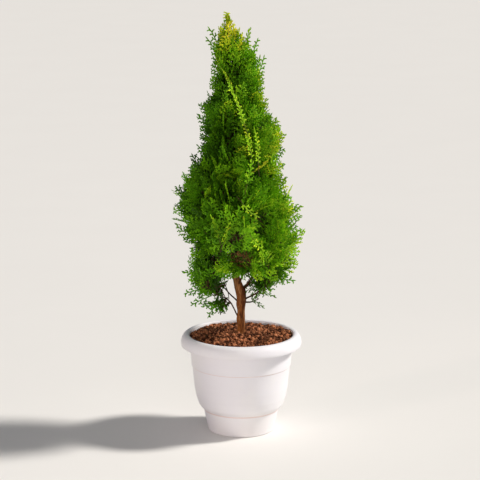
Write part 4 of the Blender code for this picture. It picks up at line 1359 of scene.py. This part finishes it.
class ARBORVITAE_OT_foliage(bpy.types.Operator):
    """Grow the twigs and the fans of scale leaves"""

    bl_idname = "arborvitae.foliage"
    bl_label = "Grow foliage"

    def execute(self, context):
        settings = context.scene.arborvitae_leaves
        crown = Crown(settings)
        kept = crown.kept()
        set_twigs(crown.twigs, settings)
        set_leaves(kept)
        return {"FINISHED"}


# ------------------------------------------------------------ stage


POT_MIDDLE = (0.0, 0.0, 0.045)
POT_CONE = math.radians(8.5)  # the low lights' cone, which narrows to the pot
FLOOR_REACH = 30  # metres to each side
CAMERA_PLACE, CAMERA_DROP = (-0.0015, -2.406, 0.763), 12.23  # it looks down by so many degrees
CAMERA_LENS, CAMERA_SENSOR = 150.0, 36.0


class StageSettings(bpy.types.PropertyGroup):
    key: amount("Key light", "Strength of the light from the right", 3.8, 0, 100)
    softness: amount("Softness", "How wide the key light is, seen from the plant",
                     math.radians(9), 0, math.pi, subtype="ANGLE")
    fill: amount("Fill light", "Strength of the soft light from the front", 7.0, 0, 10000,
                 unit="POWER")
    low_left: amount("Low left light", "Strength of the light on the pot's left", 190.0, 0, 10000,
                     unit="POWER")
    low_front: amount("Low front light", "Strength of the light on the pot's front", 130.0, 0, 10000,
                      unit="POWER")
    sky: amount("Sky", "Strength of the even light all round", 0.26, 0, 100)
    floor: tint("Floor colour", "Colour of the plain floor", (0.80, 0.78, 0.755))


def add_light(name, kind, place, power, shade, aim=(0, 0, PLANT_HEIGHT / 2)):
    """A light that shines from its place on the plant."""
    light = bpy.data.lights.new(name, kind)
    light.energy, light.color = power, shade
    holder = placed(name, light)
    holder.location = place
    holder.rotation_euler = (Vector(aim) - Vector(place)).to_track_quat("-Z", "Y").to_euler()
    return light


class ARBORVITAE_OT_stage(bpy.types.Operator):
    """Set the floor, the lights and the camera"""

    bl_idname = "arborvitae.stage"
    bl_label = "Set stage"

    def execute(self, context):
        scene = context.scene
        settings = scene.arborvitae_stage
        corners = [(FLOOR_REACH * x, FLOOR_REACH * y, 0)
                   for x, y in ((-1, -1), (1, -1), (1, 1), (-1, 1))]
        floor = placed("floor", new_mesh("floor", corners, faces=[(0, 1, 2, 3)]))
        plain = Finish("plain_floor", Roughness=0.85)
        shade = tuple(settings.floor)
        finish = plain.feed(plain.mix(plain.noise(6.0, 4.0), scaled(shade, 0.97), shade))
        floor.data.materials.append(finish)
        key = add_light("key", "SUN", (2.0, 0.3, 2.0), settings.key, (1.0, 0.965, 0.91))
        key.angle = settings.softness
        fill = add_light("fill", "AREA", (0.5, -2.5, 1.3), settings.fill, (1.0, 0.985, 0.97))
        fill.shape, fill.size = "DISK", 1.4
        spots = (("low_left", (-1.7, -1.3, 0.35), settings.low_left, (1.0, 0.82, 0.75)),
                 ("low_front", (0.2, -2.3, 0.40), settings.low_front, (1.0, 0.90, 0.86)))
        for name, place, power, shade in spots:
            low = add_light(name, "SPOT", place, power, shade, POT_MIDDLE)
            low.spot_size, low.spot_blend, low.shadow_soft_size = POT_CONE, 1.0, 0.25
        world = bpy.data.worlds.new("pale_room")
        world.use_nodes = True
        sky = world.node_tree.nodes["Background"]
        sky.inputs["Color"].default_value = (0.93, 0.95, 1.0, 1)
        sky.inputs["Strength"].default_value = settings.sky
        scene.world = world
        camera = bpy.data.cameras.new("camera")
        camera.lens, camera.sensor_width = CAMERA_LENS, CAMERA_SENSOR
        camera.clip_start, camera.clip_end = 0.1, 60.0
        holder = placed("camera", camera)
        holder.location = CAMERA_PLACE
        holder.rotation_euler = (math.radians(90 - CAMERA_DROP), 0, 0)
        scene.camera = holder
        scene.view_settings.view_transform = "Standard"
        return {"FINISHED"}


# ------------------------------------------------------------ add-on


class ARBORVITAE_PT_panel(bpy.types.Panel):
    bl_idname = "ARBORVITAE_PT_panel"
    bl_label = "Potted arborvitae"
    bl_space_type = "VIEW_3D"
    bl_region_type = "UI"
    bl_category = "Arborvitae"

    def draw(self, context):
        for operator, group in PIECES:
            box = self.layout.box()
            box.operator(operator.bl_idname)
            settings = getattr(context.scene, group)
            for name in settings.bl_rna.properties.keys():
                if name not in ("rna_type", "name"):
                    box.prop(settings, name)


PIECES = (
    (ARBORVITAE_OT_pot, "arborvitae_pot"),
    (ARBORVITAE_OT_soil, "arborvitae_soil"),
    (ARBORVITAE_OT_bark, "arborvitae_bark"),
    (ARBORVITAE_OT_foliage, "arborvitae_leaves"),
    (ARBORVITAE_OT_stage, "arborvitae_stage"),
)
SETTINGS = (PotSettings, SoilSettings, BarkSettings, LeafSettings, StageSettings)


def register():
    for settings, (operator, group) in zip(SETTINGS, PIECES):
        bpy.utils.register_class(settings)
        bpy.utils.register_class(operator)
        setattr(bpy.types.Scene, group, bpy.props.PointerProperty(type=settings))
    bpy.utils.register_class(ARBORVITAE_PT_panel)


def unregister():
    bpy.utils.unregister_class(ARBORVITAE_PT_panel)
    for settings, (operator, group) in zip(SETTINGS, PIECES):
        delattr(bpy.types.Scene, group)
        bpy.utils.unregister_class(operator)
        bpy.utils.unregister_class(settings)


def main():
    register()
    bpy.ops.arborvitae.pot()
    bpy.ops.arborvitae.soil()
    bpy.ops.arborvitae.bark()
    bpy.ops.arborvitae.foliage()
    bpy.ops.arborvitae.stage()


if __name__ == "__main__":
    main()
